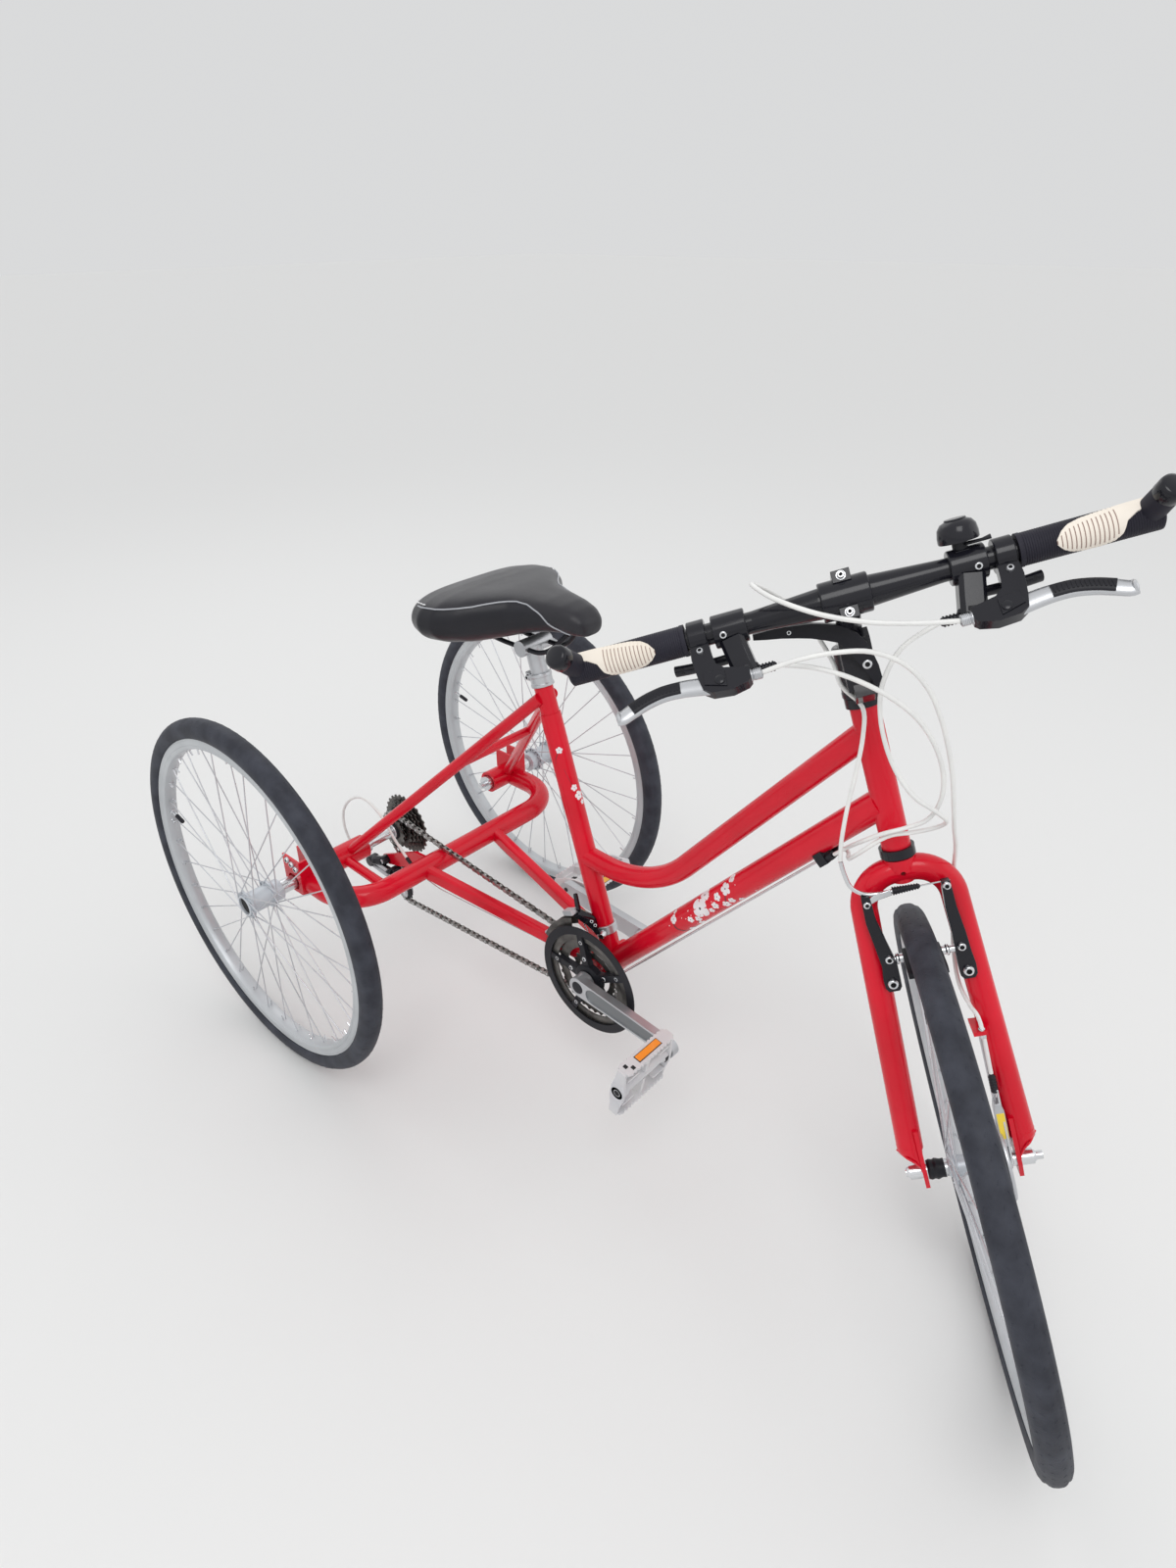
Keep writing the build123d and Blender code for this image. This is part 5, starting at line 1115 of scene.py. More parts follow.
for name, side in (("right", -1), ("left", 1)):
    fall = crankLook["fall"]
    armWay = Vector((math.cos(fall), 0, math.sin(fall))) * -side
    armPlace = placeAt(layout["bracket"], armWay, (yWay * side).cross(armWay), yWay * side)
    bm = bmesh.new()
    length, panel = crankLook["length"], crankLook["panel"]
    outline = linkOutline(length, 16.5, 13.6)
    addPrism(bm, armPlace, outline, crankLook["low"], panel)
    addPrism(bm, armPlace, outline, panel - 0.4, crankLook["high"], 0, linkOutline(length - 22, 13, 10.4, 30))
    addPrism(bm, armPlace, linkOutline(length - 21, 13.5, 10.9, 29.5), panel - 0.6, panel + 0.15, 1)
    boss = [(8.6, 64.6), (16, 64.6), (16.8, 65.6), (16.8, 85.6), (15.6, 86.6), (11, 86.8), (11, 86.2)]
    addLathe(bm, armPlace, boss, 40)
    addLathe(bm, armPlace, [(11, 86.1), (9.6, 87.6), (0, 88)], 32, part=2)
    eye = armPlace @ Matrix.Translation((length, 0, 0))
    addLathe(bm, eye, [(0, 73.4), (12.9, 73.4), (13.8, 74.4), (13.8, 85.8), (13, 86.7), (0, 86.7)], 36)
    addLathe(bm, eye, [(0, 72.6), (4.4, 72.6), (4.4, 74)], 6, part=2)
    addLathe(bm, eye, [(7.4, 86.6), (7.4, 88.6), (5, 88.8), (5, 160)], 24, part=3)
    if side > 0:
        addLathe(bm, crankPlace, [(0, 66), (8.4, 66), (8.4, -70), (0, -70)], 24, part=3)
    finishPiece(
        name + "Crank", bm, ["silverAlloy", "crankPanel", "satinBlack", "polishedSteel"], "crank",
        ["crank_" + name], angle=30,
    )

# Pedals: a barrel, two toothed side plates with a lens on each, end plates and a rib across
pedalLook = {
    "inner": 89.6, "outer": 195.3, "half": 45.6, "deep": 11.8, "leans": {"right": 80, "left": 18},
    "tooth": 7.2, "lens": (26, 72.5, 5),
}
for name, side in (("right", -1), ("left", 1)):
    fall, lean = crankLook["fall"], math.radians(pedalLook["leans"][name])
    eyePoint = layout["bracket"] + Vector((math.cos(fall), 0, math.sin(fall))) * -side * crankLook["length"]
    longWay, outWay = Vector((math.cos(lean), 0, math.sin(lean))), yWay * side
    flatWay = outWay.cross(longWay)
    inner, outer, half, deep = pedalLook["inner"], pedalLook["outer"], pedalLook["half"], pedalLook["deep"]
    bm = bmesh.new()
    body = placeAt(eyePoint, longWay, flatWay, outWay)
    barrel = [
        (5.3, inner), (10.4, inner), (11.4, inner + 1.5), (11.4, inner + 12), (8.6, inner + 16),
        (8.6, outer - 18), (11, outer - 14), (11.4, outer - 1.5), (10.2, outer), (5.3, outer),
    ]
    addLathe(bm, body, barrel, 32, closed=True)
    for sense in (-1, 1):
        plate = placeAt(eyePoint, outWay, flatWay, outWay.cross(flatWay))
        tooth, upper = pedalLook["tooth"], []
        for k in range(int((outer - inner - 8) / tooth)):
            base = inner + 4 + k * tooth
            upper += [(base, deep - 2.4), (base + tooth * 0.35, deep), (base + tooth * 0.65, deep)]
        outline = upper + [(outer - 4, deep - 2.4), (outer - 4, -deep + 2.4)]
        outline += [(x, -y) for x, y in upper[::-1]] + [(inner + 4, -deep + 2.4)]
        ends = sorted((-sense * (half - 0.4), -sense * (half - 4.4)))
        addPrism(bm, plate, outline, *ends)
        lensLow, lensHigh, lensHalf = pedalLook["lens"]
        frameEnds = sorted((-sense * (half - 1), -sense * (half + 0.1)))
        addBlock(
            bm, plate, (inner + lensLow - 1.2, -lensHalf - 1.2, frameEnds[0]),
            (inner + lensHigh + 1.2, lensHalf + 1.2, frameEnds[1]), 1,
        )
        lensEnds = sorted((-sense * half, -sense * (half + 0.6)))
        addBlock(
            bm, plate, (inner + lensLow, -lensHalf, lensEnds[0]), (inner + lensHigh, lensHalf, lensEnds[1]),
            2,
        )
        # Two small near-black patches of painted shade on each side plate, for openings
        for along, across in ((outer - 19, -5), (outer - 12, 3)):
            addBlock(
                bm, plate, (along - 2.8, across - 3, frameEnds[0]),
                (along + 2.8, across + 3, frameEnds[1] + 0.05), 3,
            )
    for low, high in ((inner, inner + 4.5), (outer - 4.5, outer)):
        sidePlate = [(-half + 1, -7), (-26, -8.5), (-10, -11.7), (10, -11.7), (26, -8.5), (half - 1, -7)]
        addPrism(bm, body, sidePlate + [(x, -y) for x, y in sidePlate[::-1]], low, high)
    # Near-black painted shade on the barrel's outer end and on a block across its inner end
    addLathe(bm, body, [(0, outer + 0.02), (4.8, outer + 0.02)], 24, part=3)
    addBlock(bm, body, (-4.5, -11.6, inner + 5), (4.5, 11.6, inner + 12), 3)
    for sense in (-1, 1):
        ends = sorted((sense * 8, sense * (half - 2)))
        addBlock(bm, body, (ends[0], -7.6, (inner + outer) / 2 - 3), (ends[1], 7.6, (inner + outer) / 2 + 3))
        for along in (inner + 18, outer - 20):
            addBlock(bm, body, (sense * 26 - 2, -9, along - 12), (sense * 26 + 2, 9, along + 12))
    finishPiece(
        name + "Pedal", bm,
        ["pedalGrey", "satinBlack", "amberLens" if side < 0 else "yellowLens", "paintedRecessShade"], "pedal_" + name,
        ["pedal_" + name], bevel=0.5, angle=35,
    )

cassetteLook = {"teeth": (14, 16, 18, 20, 22, 24, 28), "first": 51, "step": 5}
bm = bmesh.new()
for k, teeth in enumerate(cassetteLook["teeth"]):
    height = cassetteLook["first"] - k * cassetteLook["step"]
    radius = pitchRadius(teeth)
    tip = radius - 4.3 if teeth == driveLook["chainSprocket"] else radius + 1.8
    addPrism(
        bm, sprocketPlace, toothedOutline(teeth, tip - 3.6, tip), height - 0.95, height + 0.95, 0,
        circle(11.5, teeth * 4),
    )
addLathe(
    bm, sprocketPlace, [(10.35, 18.2), (16, 18.2), (17, 19), (17, 54), (16, 55.9), (10.35, 55.9)], 40, part=1,
)
addLathe(bm, sprocketPlace, [(10.4, 55.6), (14.5, 55.6), (13.6, 57.4), (10.4, 57.4)], 24, part=2)
finishPiece("sprocketSet", bm, ["darkSteel", "satinBlack", "silverAlloy"], "cassette", ["cassette"], angle=30)
print("stage: cranks, pedals and sprockets made")

# Chain: the same closed loop as the solid, laid out link by link
chainLook = {
    "links": 108, "y": -46, "guide": (5.0, 235.0), "pulley": 20.0, "cage": 54.0, "lean": 0.0, "plate": 4.2,
    "waist": 3.0,
}


def sideLine(first, second):
    (fx, fz), firstRadius, firstTurn = first
    (sx, sz), secondRadius, secondTurn = second
    heading = math.atan2(sz - fz, sx - fx)
    heading -= math.asin((secondTurn * secondRadius - firstTurn * firstRadius) / math.hypot(sx - fx, sz - fz))
    outX, outZ = math.sin(heading), -math.cos(heading)
    start = (fx + outX * firstRadius * firstTurn, fz + outZ * firstRadius * firstTurn)
    return start, (sx + outX * secondRadius * secondTurn, sz + outZ * secondRadius * secondTurn)


def chainLoop(lean):
    gx, gz = chainLook["guide"]
    tension = (gx + chainLook["cage"] * math.sin(lean), gz - chainLook["cage"] * math.cos(lean))
    ringMiddle = (layout["bracket"].x - layout["rearAxle"].x, layout["bracket"].z)
    rounds = [
        (ringMiddle, pitchRadius(driveLook["chainRing"]), 1),
        ((0.0, layout["rearAxle"].z), pitchRadius(driveLook["chainSprocket"]), 1),
        ((gx, gz), chainLook["pulley"], -1), (tension, chainLook["pulley"], 1),
    ]
    runs = [sideLine(rounds[k], rounds[(k + 1) % 4]) for k in range(4)]
    pieces = []
    for k in range(4):
        start, end = runs[k]
        leave = runs[(k + 1) % 4][0]
        (mx, mz), radius, turning = rounds[(k + 1) % 4]
        arrival = math.atan2(end[1] - mz, end[0] - mx)
        swing = (math.atan2(leave[1] - mz, leave[0] - mx) - arrival) * turning % (2 * math.pi) * turning
        pieces.append((start, end, (mx, mz), radius, arrival, swing))
    return tension, pieces


def loopLength(pieces):
    return sum(
        math.dist(start, end) + radius * abs(swing)
        for start, end, middle, radius, arrival, swing in pieces
    )


# The cage swings until the loop is as long as its links
lowLean, highLean = -0.6, 0.9
for attempt in range(40):
    chainLook["lean"] = (lowLean + highLean) / 2
    tensionWheel, chainPieces = chainLoop(chainLook["lean"])
    if loopLength(chainPieces) < chainLook["links"] * chainPitch:
        highLean = chainLook["lean"]
    else:
        lowLean = chainLook["lean"]


def alongChain(distance):
    for start, end, (mx, mz), radius, arrival, swing in chainPieces:
        straight = math.dist(start, end)
        total = straight + radius * abs(swing)
        if distance < total:
            if distance < straight:
                t = distance / straight
                return start[0] + (end[0] - start[0]) * t, start[1] + (end[1] - start[1]) * t
            angle = arrival + math.copysign((distance - straight) / radius, swing)
            return mx + radius * math.cos(angle), mz + radius * math.sin(angle)
        distance -= total
    return chainPieces[0][0]


pins = [alongChain(k * chainPitch + 0.001) for k in range(chainLook["links"])]
bm = bmesh.new()
for k, (x, z) in enumerate(pins):
    nextX, nextZ = pins[(k + 1) % len(pins)]
    gap = math.hypot(nextX - x, nextZ - z)
    way = Vector((nextX - x, 0, nextZ - z)).normalized()
    place = placeAt(atFrame(x, chainLook["y"], z), way, (-yWay).cross(way), -yWay)
    plate, waist = chainLook["plate"], chainLook["waist"]
    outline = []
    for middle, base in ((0, 110), (gap, -70)):
        for turn in (math.radians(base + 23.3 * j) for j in range(7)):
            outline.append((middle + plate * math.cos(turn), plate * math.sin(turn)))
        outline.append((gap / 2, -waist if base > 0 else waist))
    low, high = (2.6, 3.45) if k % 2 else (1.75, 2.6)
    for sense in (-1, 1):
        addPrism(bm, place, outline, *sorted((low * sense, high * sense)), part=k % 2)
    addLathe(bm, place, [(3.8, -1.7), (3.8, 1.7)], 10, part=1)
    addLathe(bm, place, [(0, -3.5), (1.7, -3.5), (1.7, 3.5), (0, 3.5)], 8, part=2)
finishPiece("chainLoop", bm, ["darkSteel", "chainPlate", "polishedSteel"], "frame", ["chain"], angle=35)

# Front derailleur: band, body and the cage's two plates
frontShiftLook = {
    "bandAlong": 62, "strut": (-42, -40.2, 98), "cageFaces": (40.1, 54.1), "cageRadii": (88, 104),
    "band": [(16, -7.5), (18.2, -7.5), (18.9, -6.8), (18.9, 6.8), (18.2, 7.5), (16, 7.5)],
}
bandCentre = layout["bracket"] + seatUp * frontShiftLook["bandAlong"]
bm = bmesh.new()
addLathe(bm, alongPlace(bandCentre, seatUp, yWay), frontShiftLook["band"], 48, part=1)
strutHigh = layout["bracket"] + Vector(frontShiftLook["strut"])
outerStrut = [
    bandCentre + Vector((-9, -11, 0)), bandCentre.lerp(strutHigh, 0.55) + Vector((0, -2, 0)), strutHigh,
]
addSweep(bm, outerStrut, [9.4, 10.5, 8.6], 6)
innerStrut = [
    bandCentre + Vector((4, -21, 2)), bandCentre.lerp(strutHigh, 0.5) + Vector((8, -8, 4)),
    strutHigh + Vector((6, 0, -4)),
]
addSweep(bm, innerStrut, [6, 6.4, 5], 4)
addSweep(bm, [strutHigh + Vector((2, 1, 4)), strutHigh + Vector((-16, 14, 20))], [4.6, 3.6], 4)
addBolt(bm, bandCentre + Vector((9, -15, 0)), Vector((0.35, -1, 0)), 6, 10, 2, 3)
for share, shift in ((0.3, (8, -14, 6)), (0.42, (6, -12, 8))):
    addBolt(bm, bandCentre.lerp(strutHigh, share) + Vector(shift), Vector((0.6, -0.5, 0.6)), 3.2, 6, 2, 3)
inside, outside = frontShiftLook["cageRadii"]
cageArc = []
for radius, degrees in (
    (outside, (113, 120, 128, 136, 144, 152, 160)), (inside, (161, 152, 143, 134, 125, 116)),
):
    cageArc += [(radius * math.cos(math.radians(a)), radius * math.sin(math.radians(a))) for a in degrees]
for height in frontShiftLook["cageFaces"]:
    addPrism(bm, crankPlace, cageArc, height, height + 1.4, 4)
addPrism(bm, crankPlace, [(-58, 90), (-40, 99), (-44, 107), (-62, 97)], 39.8, 53, 1)
addPrism(bm, crankPlace, [(-99, 36), (-92, 36), (-92, 40), (-99, 40)], 40.5, 55.4, 1)
finishPiece(
    "frontDerailleurBody", bm, ["glossBlack", "silverAlloy", "polishedSteel", "paintedRecessShade", "darkSteel"],
    "frame", ["front_derailleur"], bevel=0.4, angle=35,
)

# Rear derailleur: knuckle, parallelogram, cage plates and two pulleys
rearLook = {
    "eye": (-16, 251.9), "knuckle": (-45, 241.9), "hangerY": -60, "cageY": (-53, -40), "pulleyTeeth": 10,
    "eyeTurned": [(0, 1.2), (8.6, 1.2), (9, 2), (9, 14), (8, 15.6), (4.6, 15.6), (4.4, 13.6), (0, 13.6)],
    "knuckleTurned": [(0, 0), (9, 0), (10.6, 2), (10.6, 18), (9, 20.8), (0, 21)],
    "guideTurned": [(0, 0), (8.4, 0), (8.8, 1), (8.8, 17), (7.6, 18.6), (0, 19)],
    "cage": [
        (-9, 0, 4), (-5, 0, 9), (4, 0, 10.5), (16, 0, 7), (38, 0, 6.4), (50, 0, 9.6), (58, 0, 8.6),
        (63, 0, 4),
    ],
    "pulleyHub": [(0, -7.4), (3.6, -7.4), (3.6, -6.4), (6.6, -6), (6.6, 6), (4, 6.4), (4, 8.4), (0, 8.4)],
}
bm = bmesh.new()
eyeX, eyeZ = rearLook["eye"]
knuckleX, knuckleZ = rearLook["knuckle"]
guideX, guideZ = chainLook["guide"]
addLathe(bm, alongPlace(atFrame(eyeX, rearLook["hangerY"], eyeZ), -yWay), rearLook["eyeTurned"], 32)
addBolt(bm, atFrame(eyeX, rearLook["hangerY"] - 15, eyeZ), -yWay, 5.4, 3, 2, 3)
halfway = atFrame((eyeX + knuckleX) / 2, -75, (eyeZ + knuckleZ) / 2)
addSweep(bm, [atFrame(eyeX, -72, eyeZ), halfway, atFrame(knuckleX, -74, knuckleZ)], [9, 10.6, 10], 8)
addLathe(bm, alongPlace(atFrame(knuckleX, -63.5, knuckleZ), -yWay), rearLook["knuckleTurned"], 28)
for lift in (5.5, -5.5):
    bar = [atFrame(knuckleX + 4, -79, knuckleZ + lift), atFrame(guideX - 4, -77, guideZ + lift)]
    addSweep(bm, bar, [5, 5], 4, part=1, flat=(1, 0.7))
link = [atFrame(knuckleX, -74, knuckleZ), atFrame(guideX - 16, -72, guideZ + 2), atFrame(guideX, -70, guideZ)]
addSweep(bm, link, [7, 6.4, 7], 8)
addLathe(bm, alongPlace(atFrame(guideX, -53, guideZ), -yWay), rearLook["guideTurned"], 28)
cageWay = Vector((tensionWheel[0] - guideX, 0, tensionWheel[1] - guideZ)).normalized()
for y in rearLook["cageY"]:
    place = placeAt(atFrame(guideX, y, guideZ), cageWay, (-yWay).cross(cageWay), -yWay)
    addPrism(bm, place, strapOutline(rearLook["cage"]), -0.6, 0.6, 1)
for wheelX, wheelZ in (chainLook["guide"], tensionWheel):
    place = placeAt(atFrame(wheelX, chainLook["y"], wheelZ), xWay, zWay, -yWay)
    addPrism(bm, place, toothedOutline(rearLook["pulleyTeeth"], 13.6, 16), -0.9, 0.9, 3, circle(6, 40))
    addLathe(bm, place, rearLook["pulleyHub"], 20, part=2)
finishPiece(
    "rearDerailleurBody", bm, ["glossBlack", "silverAlloy", "polishedSteel", "satinBlack"], "frame",
    ["rear_derailleur"], bevel=0.4, angle=35,
)
print("stage: chain and derailleurs made")

# Cables: points along each run, those of the first four in the steering's own axes
cableLook = {"radius": 2.5, "wire": 0.9, "stopAlong": 485, "stopUnder": 23.5, "stopReach": 25.7, "spread": 9}
stopMiddle = layout["bracket"] + downRun * cableLook["stopAlong"] + downUnder * cableLook["stopUnder"]


def stopTip(side):
    return stopMiddle + downRun * cableLook["stopReach"] + yWay * side * cableLook["spread"]


# A cable as a smooth tube on its body; one that crosses the steering is given both bodies and where the bend
# starts and ends, yet is only baked where it lies and put on no body
def cableMesh(name, points, body, stands):
    bm = bmesh.new()
    addSweep(bm, smoothLine(points, 5), cableLook["radius"], 10)
    bmesh.ops.recalc_face_normals(bm, faces=bm.faces)
    piece = newPiece(name, bm, ["whiteHousing"], 60)
    if isinstance(body, str):
        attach(piece, body)
    else:
        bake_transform(piece)
    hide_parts(*stands)


frontBrakeRun = [
    (129, 94.3, 658.2), (131, 55, 667), (130, 12, 680), (126, -30, 699), (112, -66, 722), (84, -84, 738),
    (56, -70, 724), (44, -46, 696), (38, -32, 662), (34, -23, 630), (33, -20, 604), (31, -4, 576),
    (34, -10, 546), (37, -26, 508), (39, -44, 470), (38, -58, 434), (34, -64, 410.5),
]
drumRun = [
    (129, -94.3, 658.2), (133, -60, 662), (133, -24, 660), (129, 10, 651), (118, 38, 629), (104, 56, 597),
    (90, 64, 561), (76, 67, 524), (62, 67, 487), (48, 64, 450), (30, 62, 418), (8, 62, 388), (-12, 58, 356),
    (-18, 52, 320), (-16, 44, 284), (-6, 37, 250), (12, 34, 222), (36, 38, 206), (50, 44, 190),
    (50, 44, 122.3),
]
rightShiftRun = [
    (110, -76.8, 658), (118, -45, 648), (120, -14, 630), (114, 16, 603), (100, 40, 570), (82, 54, 532),
    (66, 58, 494), (52, 52, 462), (42, 36, 440), (38, 12, 434), (36, -14, 432),
]
leftShiftRun = [
    (110, 76.8, 658), (103, 40, 642), (96, 16, 610), (88, 8, 576), (76, 8, 540), (64, 14, 504), (60, 26, 474),
    (56, 44, 452), (44, 54, 434), (30, 44, 424), (30, 18, 424), (32, -10, 426),
]
cableMesh("frontBrakeHousing", steerRun(frontBrakeRun), "steering", ["front_brake_cable"])
cableMesh("drumBrakeHousing", steerRun(drumRun), "steering", ["drum_brake_cable"])
rightShift = steerRun(rightShiftRun) + [atFrame(878, -34, 668), atFrame(858, -14, 643), stopTip(-1)]
leftShift = steerRun(leftShiftRun) + [
    atFrame(882, -42, 657), atFrame(866, -22, 636), atFrame(854.5, 0, 629), stopTip(1),
]
bothBodies = ("steering", "frame")
cableMesh("rightShiftHousing", rightShift, (bothBodies, rightShift[0], rightShift[-1]), ["shift_cable_right"])
cableMesh("leftShiftHousing", leftShift, (bothBodies, leftShift[0], leftShift[-1]), ["shift_cable_left"])

# The two bare wires under the down tube, and the housing loop to the rear derailleur
bm = bmesh.new()
rearLoop = [
    (78, -85, 309), (50, -86, 336), (22, -88, 372), (-20, -90, 392), (-62, -90, 376), (-98, -88, 336),
    (-108, -85, 290), (-98, -78, 248), (-74, -74, 232), (-46.6, -74, 241.3),
]
addSweep(bm, smoothLine([atFrame(*p) for p in rearLoop], 6), cableLook["radius"], 10)
addSweep(bm, [atFrame(79, -85, 308), atFrame(90, -85.4, 301)], [3.4, 3], 12, part=2)
stopFoot = stopMiddle - downUnder * 1.5 - downRun * 0.3
for side, rest in (
    (-1, [atFrame(165, -84, 282), atFrame(118, -86, 289.5), atFrame(78, -85, 309)]),
    (1, [layout["bracket"] + Vector((-27, 0, -14)), layout["bracket"] + Vector((-46.5, -28.6, 83.4))]),
):
    y = cableLook["spread"] * side
    wire = [
        stopFoot + yWay * y, layout["bracket"] + Vector((11, y, -24.1)),
        layout["bracket"] + Vector((-3, y, -24.3)),
    ]
    addSweep(bm, wire + rest, cableLook["wire"], 8, part=1)
finishPiece(
    "rearHousing", bm, ["whiteHousing", "polishedSteel", "satinBlack"], "frame", ["rear_shift_cables"],
    angle=60,
)

# Adjusters on the cable stop
bm = bmesh.new()
ribs = ribRows(5, 2, [(5, 2.4), (5, 3.2), (4.4, 3.8)])
for side in (-1, 1):
    adjuster = alongPlace(stopMiddle + yWay * side * cableLook["spread"] + downRun * 10, downRun)
    addLathe(bm, adjuster, [(2.8, 0), (4.6, 0), (4.6, 2)] + ribs + [(3.6, 13), (2.6, 14)], 16)
finishPiece("stopAdjusters", bm, ["satinBlack"], "frame", angle=35)
print("stage: cables made")

# Prints on the tubes: plain blossoms of four or five petals, dots, and thin dark stalks
printLook = {
    "down": {"radius": 18.0, "run": downRun, "over": zWay},
    "seat": {"radius": 15.9, "run": seatUp, "over": Vector((0.74, 0.67, 0))},
    "blossoms": [
        ("down", 264, 4, 15.5, 4), ("down", 280, 50, 11, 4), ("down", 327, 22, 9.5, 5),
        ("down", 343, 54, 7, 4), ("down", 306, 10, 6.5, 5), ("down", 293, -19, 6, 5),
        ("down", 311, -41, 6.5, 5), ("down", 324, -38, 5.5, 5), ("down", 336, -62, 4.5, 5),
        ("down", 201, 24, 7, 4), ("down", 234, -18, 5.5, 5), ("down", 247, -34, 5.5, 5),
        ("down", 242, -66, 5.5, 5), ("down", 216, -70, 5, 5), ("down", 281, -30, 4.5, 5),
        ("down", 205, 58, 4, 4),
        ("seat", 364, -4, 5.4, 5), ("seat", 302, 26, 5.4, 5), ("seat", 288, 44, 7.4, 5),
        ("seat", 276, 58, 4, 5),
    ],
    "stalks": [
        ("down", [(200, 18), (197, -12), (202, -50), (208, -74)], 1.1),
        ("down", [(258, -20), (250, -30), (240, -50)], 1.1),
        ("down", [(327, 10), (318, -14), (314, -34)], 1.0),
        ("down", [(281, -30), (300, -58), (322, -66)], 1.0),
        ("seat", [(334, -4), (318, 8), (304, 22)], 1.0), ("seat", [(360, -14), (352, -34), (340, -48)], 0.8),
    ],
    "dots": 14,
    "lift": 0.12,
}
cameraSpot = Vector((0.78558, -0.91895, 1.28640))  # in metres, for the prints and the camera


# A point on a tube: along it from the bracket, and round it in degrees from the line that faces the camera
def onTube(tube, along, angle, lift=0.0):
    look = printLook[tube]
    middle = layout["bracket"] + look["run"] * along
    toward = cameraSpot * 1000 - middle
    facing = (toward - look["run"] * toward.dot(look["run"])).normalized()
    over = look["run"].cross(facing)
    if over.dot(look["over"]) < 0:
        over = -over
    a = math.radians(angle)
    return middle + (facing * math.cos(a) + over * math.sin(a)) * (look["radius"] + printLook["lift"] + lift)


def addPatch(bm, tube, along, angle, outline, part, reach=0.0, turn=0.0, lift=0.0):
    radius = printLook[tube]["radius"]
    x, y = reach * math.cos(turn), reach * math.sin(turn)
    middle = bm.verts.new(onTube(tube, along + x, angle + math.degrees(y / radius), lift) * 0.001)
    rings = []
    for share in (0.34, 0.68, 1.0):
        spots = [(x + (u - x) * share, y + (v - y) * share) for u, v in outline]
        places = [onTube(tube, along + u, angle + math.degrees(v / radius), lift) for u, v in spots]
        rings.append([bm.verts.new(spot * 0.001) for spot in places])
    for k in range(len(outline)):
        n = (k + 1) % len(outline)
        bm.faces.new([middle, rings[0][k], rings[0][n]]).material_index = part
        for low, high in zip(rings, rings[1:]):
            bm.faces.new([low[k], high[k], high[n], low[n]]).material_index = part


bm = bmesh.new()
draws = random.Random(7)
for tube, along, angle, size, petals in printLook["blossoms"]:
    spin = draws.uniform(0, 2 * math.pi)
    for k in range(petals):
        turn = spin + 2 * math.pi * k / petals
        wide = (0.5 if petals < 5 else 0.38) * size
        outline = []
        for x, y in circle(1, 16):
            u, v = size * (0.54 + 0.46 * x), y * wide * (1.15 if x > 0 else 0.8)
            outline.append((u * math.cos(turn) - v * math.sin(turn), u * math.sin(turn) + v * math.cos(turn)))
        addPatch(bm, tube, along, angle, outline, 0, size * 0.54, turn)
    addPatch(bm, tube, along, angle, circle(size * 0.13, 10), 1, lift=0.06)
for tube, points, half in printLook["stalks"]:
    line = smoothLine([Vector((t, a, 0)) for t, a in points], 8)
    rows = []
    for point in line:
        pair = [onTube(tube, point.x + shift, point.y, -0.05) for shift in (-half, half)]
        rows.append([bm.verts.new(spot * 0.001) for spot in pair])
    for near, far in zip(rows, rows[1:]):
        bm.faces.new([near[0], near[1], far[1], far[0]]).material_index = 1
for k in range(printLook["dots"]):
    along, angle, size = draws.uniform(180, 372), draws.uniform(-70, 46), draws.uniform(0.5, 1.2)
    addPatch(bm, "down", along, angle, circle(size, 8), 0)
prints = newPiece("tubePrints", bm, ["whitePrint", "inkPrint"])
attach(prints, "frame")
print("stage: prints made")

# Floor, lights and camera
studio = {
    "floor": (0.78, 0.78, 0.775), "sky": (0.93, 0.935, 0.94), "skyLevel": 0.95,
    "backdrop": (0.70, 0.705, 0.71),
    "lights": (
        ("keyLight", (1.2, -1.6, 3.2), 1.4, 24), ("fillLight", (2.6, 1.8, 2.4), 2.4, 7),
        ("backLight", (-2.6, 0.8, 2.8), 2.0, 9),
    ),
    "aim": (0.05, 0, 0.45), "azimuth": 132.47, "elevation": -30.24, "roll": -0.43, "lens": 22.43,
}
floorMaterial = bpy.data.materials.new("floorPaper")
floorMaterial.use_nodes = True
floorShader = floorMaterial.node_tree.nodes["Principled BSDF"]
floorShader.inputs["Base Color"].default_value = (*studio["floor"], 1)
floorShader.inputs["Roughness"].default_value = 0.9
bm = bmesh.new()
bmesh.ops.create_grid(bm, x_segments=2, y_segments=2, size=30)
floorMesh = bpy.data.meshes.new("floor")
bm.to_mesh(floorMesh)
bm.free()
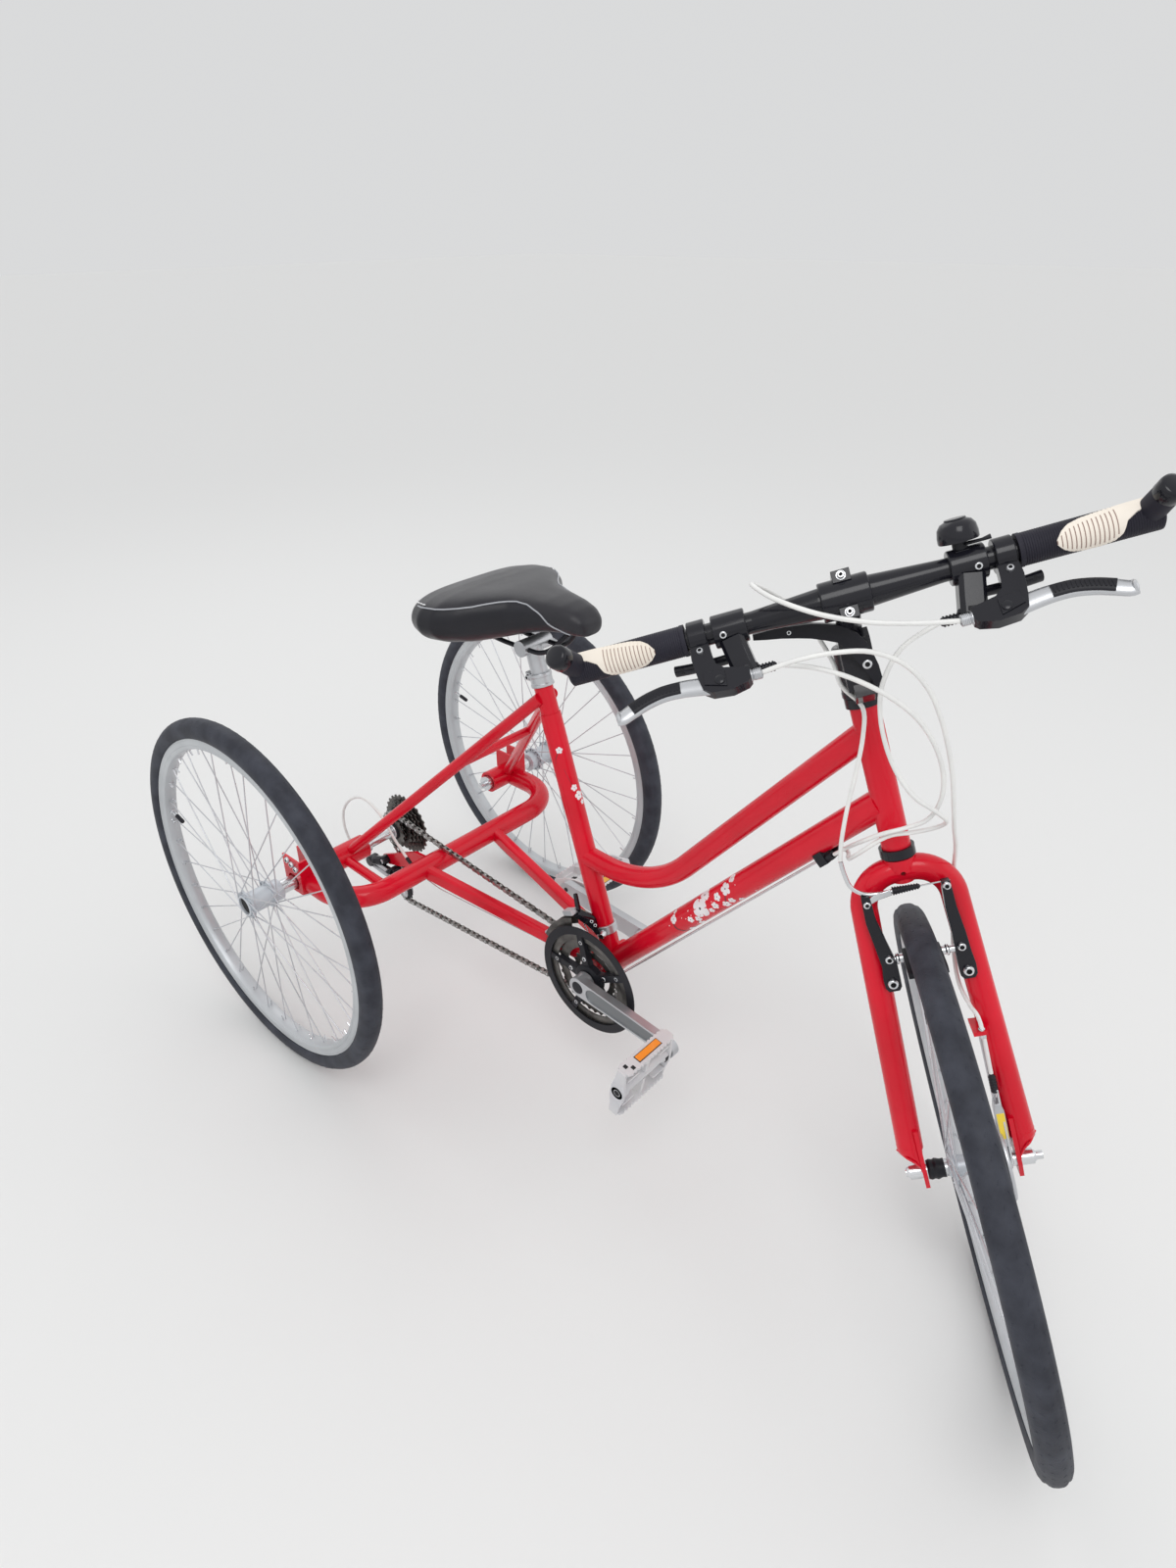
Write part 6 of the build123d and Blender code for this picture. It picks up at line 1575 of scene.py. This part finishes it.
floorMesh.materials.append(floorMaterial)
floorPiece = bpy.data.objects.new("floor", floorMesh)
bpy.context.scene.collection.objects.link(floorPiece)

# The sky lights the scene at one colour and shows behind it at another
world = bpy.data.worlds.new("paleSky")
world.use_nodes = True
sky = world.node_tree
backing = sky.nodes["Background"]
backing.inputs["Color"].default_value = (*studio["sky"], 1)
backing.inputs["Strength"].default_value = studio["skyLevel"]
seen = sky.nodes.new("ShaderNodeBackground")
seen.inputs["Color"].default_value = (*studio["backdrop"], 1)
lightPath = sky.nodes.new("ShaderNodeLightPath")
blend = sky.nodes.new("ShaderNodeMixShader")
sky.links.new(lightPath.outputs["Is Camera Ray"], blend.inputs["Fac"])
sky.links.new(backing.outputs["Background"], blend.inputs[1])
sky.links.new(seen.outputs["Background"], blend.inputs[2])
sky.links.new(blend.outputs["Shader"], sky.nodes["World Output"].inputs["Surface"])
bpy.context.scene.world = world
for name, spot, size, power in studio["lights"]:
    lamp = bpy.data.lights.new(name, "AREA")
    lamp.size = size
    lamp.energy = power
    holder = bpy.data.objects.new(name, lamp)
    holder.location = spot
    holder.rotation_euler = (Vector(studio["aim"]) - Vector(spot)).to_track_quat("-Z", "Y").to_euler()
    bpy.context.scene.collection.objects.link(holder)

# The camera stands where the photograph was taken from
turnRound, tilt, roll = (math.radians(studio[key]) for key in ("azimuth", "elevation", "roll"))
ahead = Vector((math.cos(tilt) * math.cos(turnRound), math.cos(tilt) * math.sin(turnRound), math.sin(tilt)))
right = ahead.cross(zWay).normalized()
over = right.cross(ahead)
right, over = right * math.cos(roll) + over * math.sin(roll), over * math.cos(roll) - right * math.sin(roll)
lens = bpy.data.cameras.new("photoCamera")
lens.lens = studio["lens"]
lens.sensor_width = 36
lens.clip_start = 0.05
camera = bpy.data.objects.new("photoCamera", lens)
camera.matrix_world = localAt(cameraSpot, right, over, -ahead)
bpy.context.scene.collection.objects.link(camera)
bpy.context.scene.camera = camera
bpy.context.scene.view_settings.view_transform = "Standard"
print("stage: studio made")
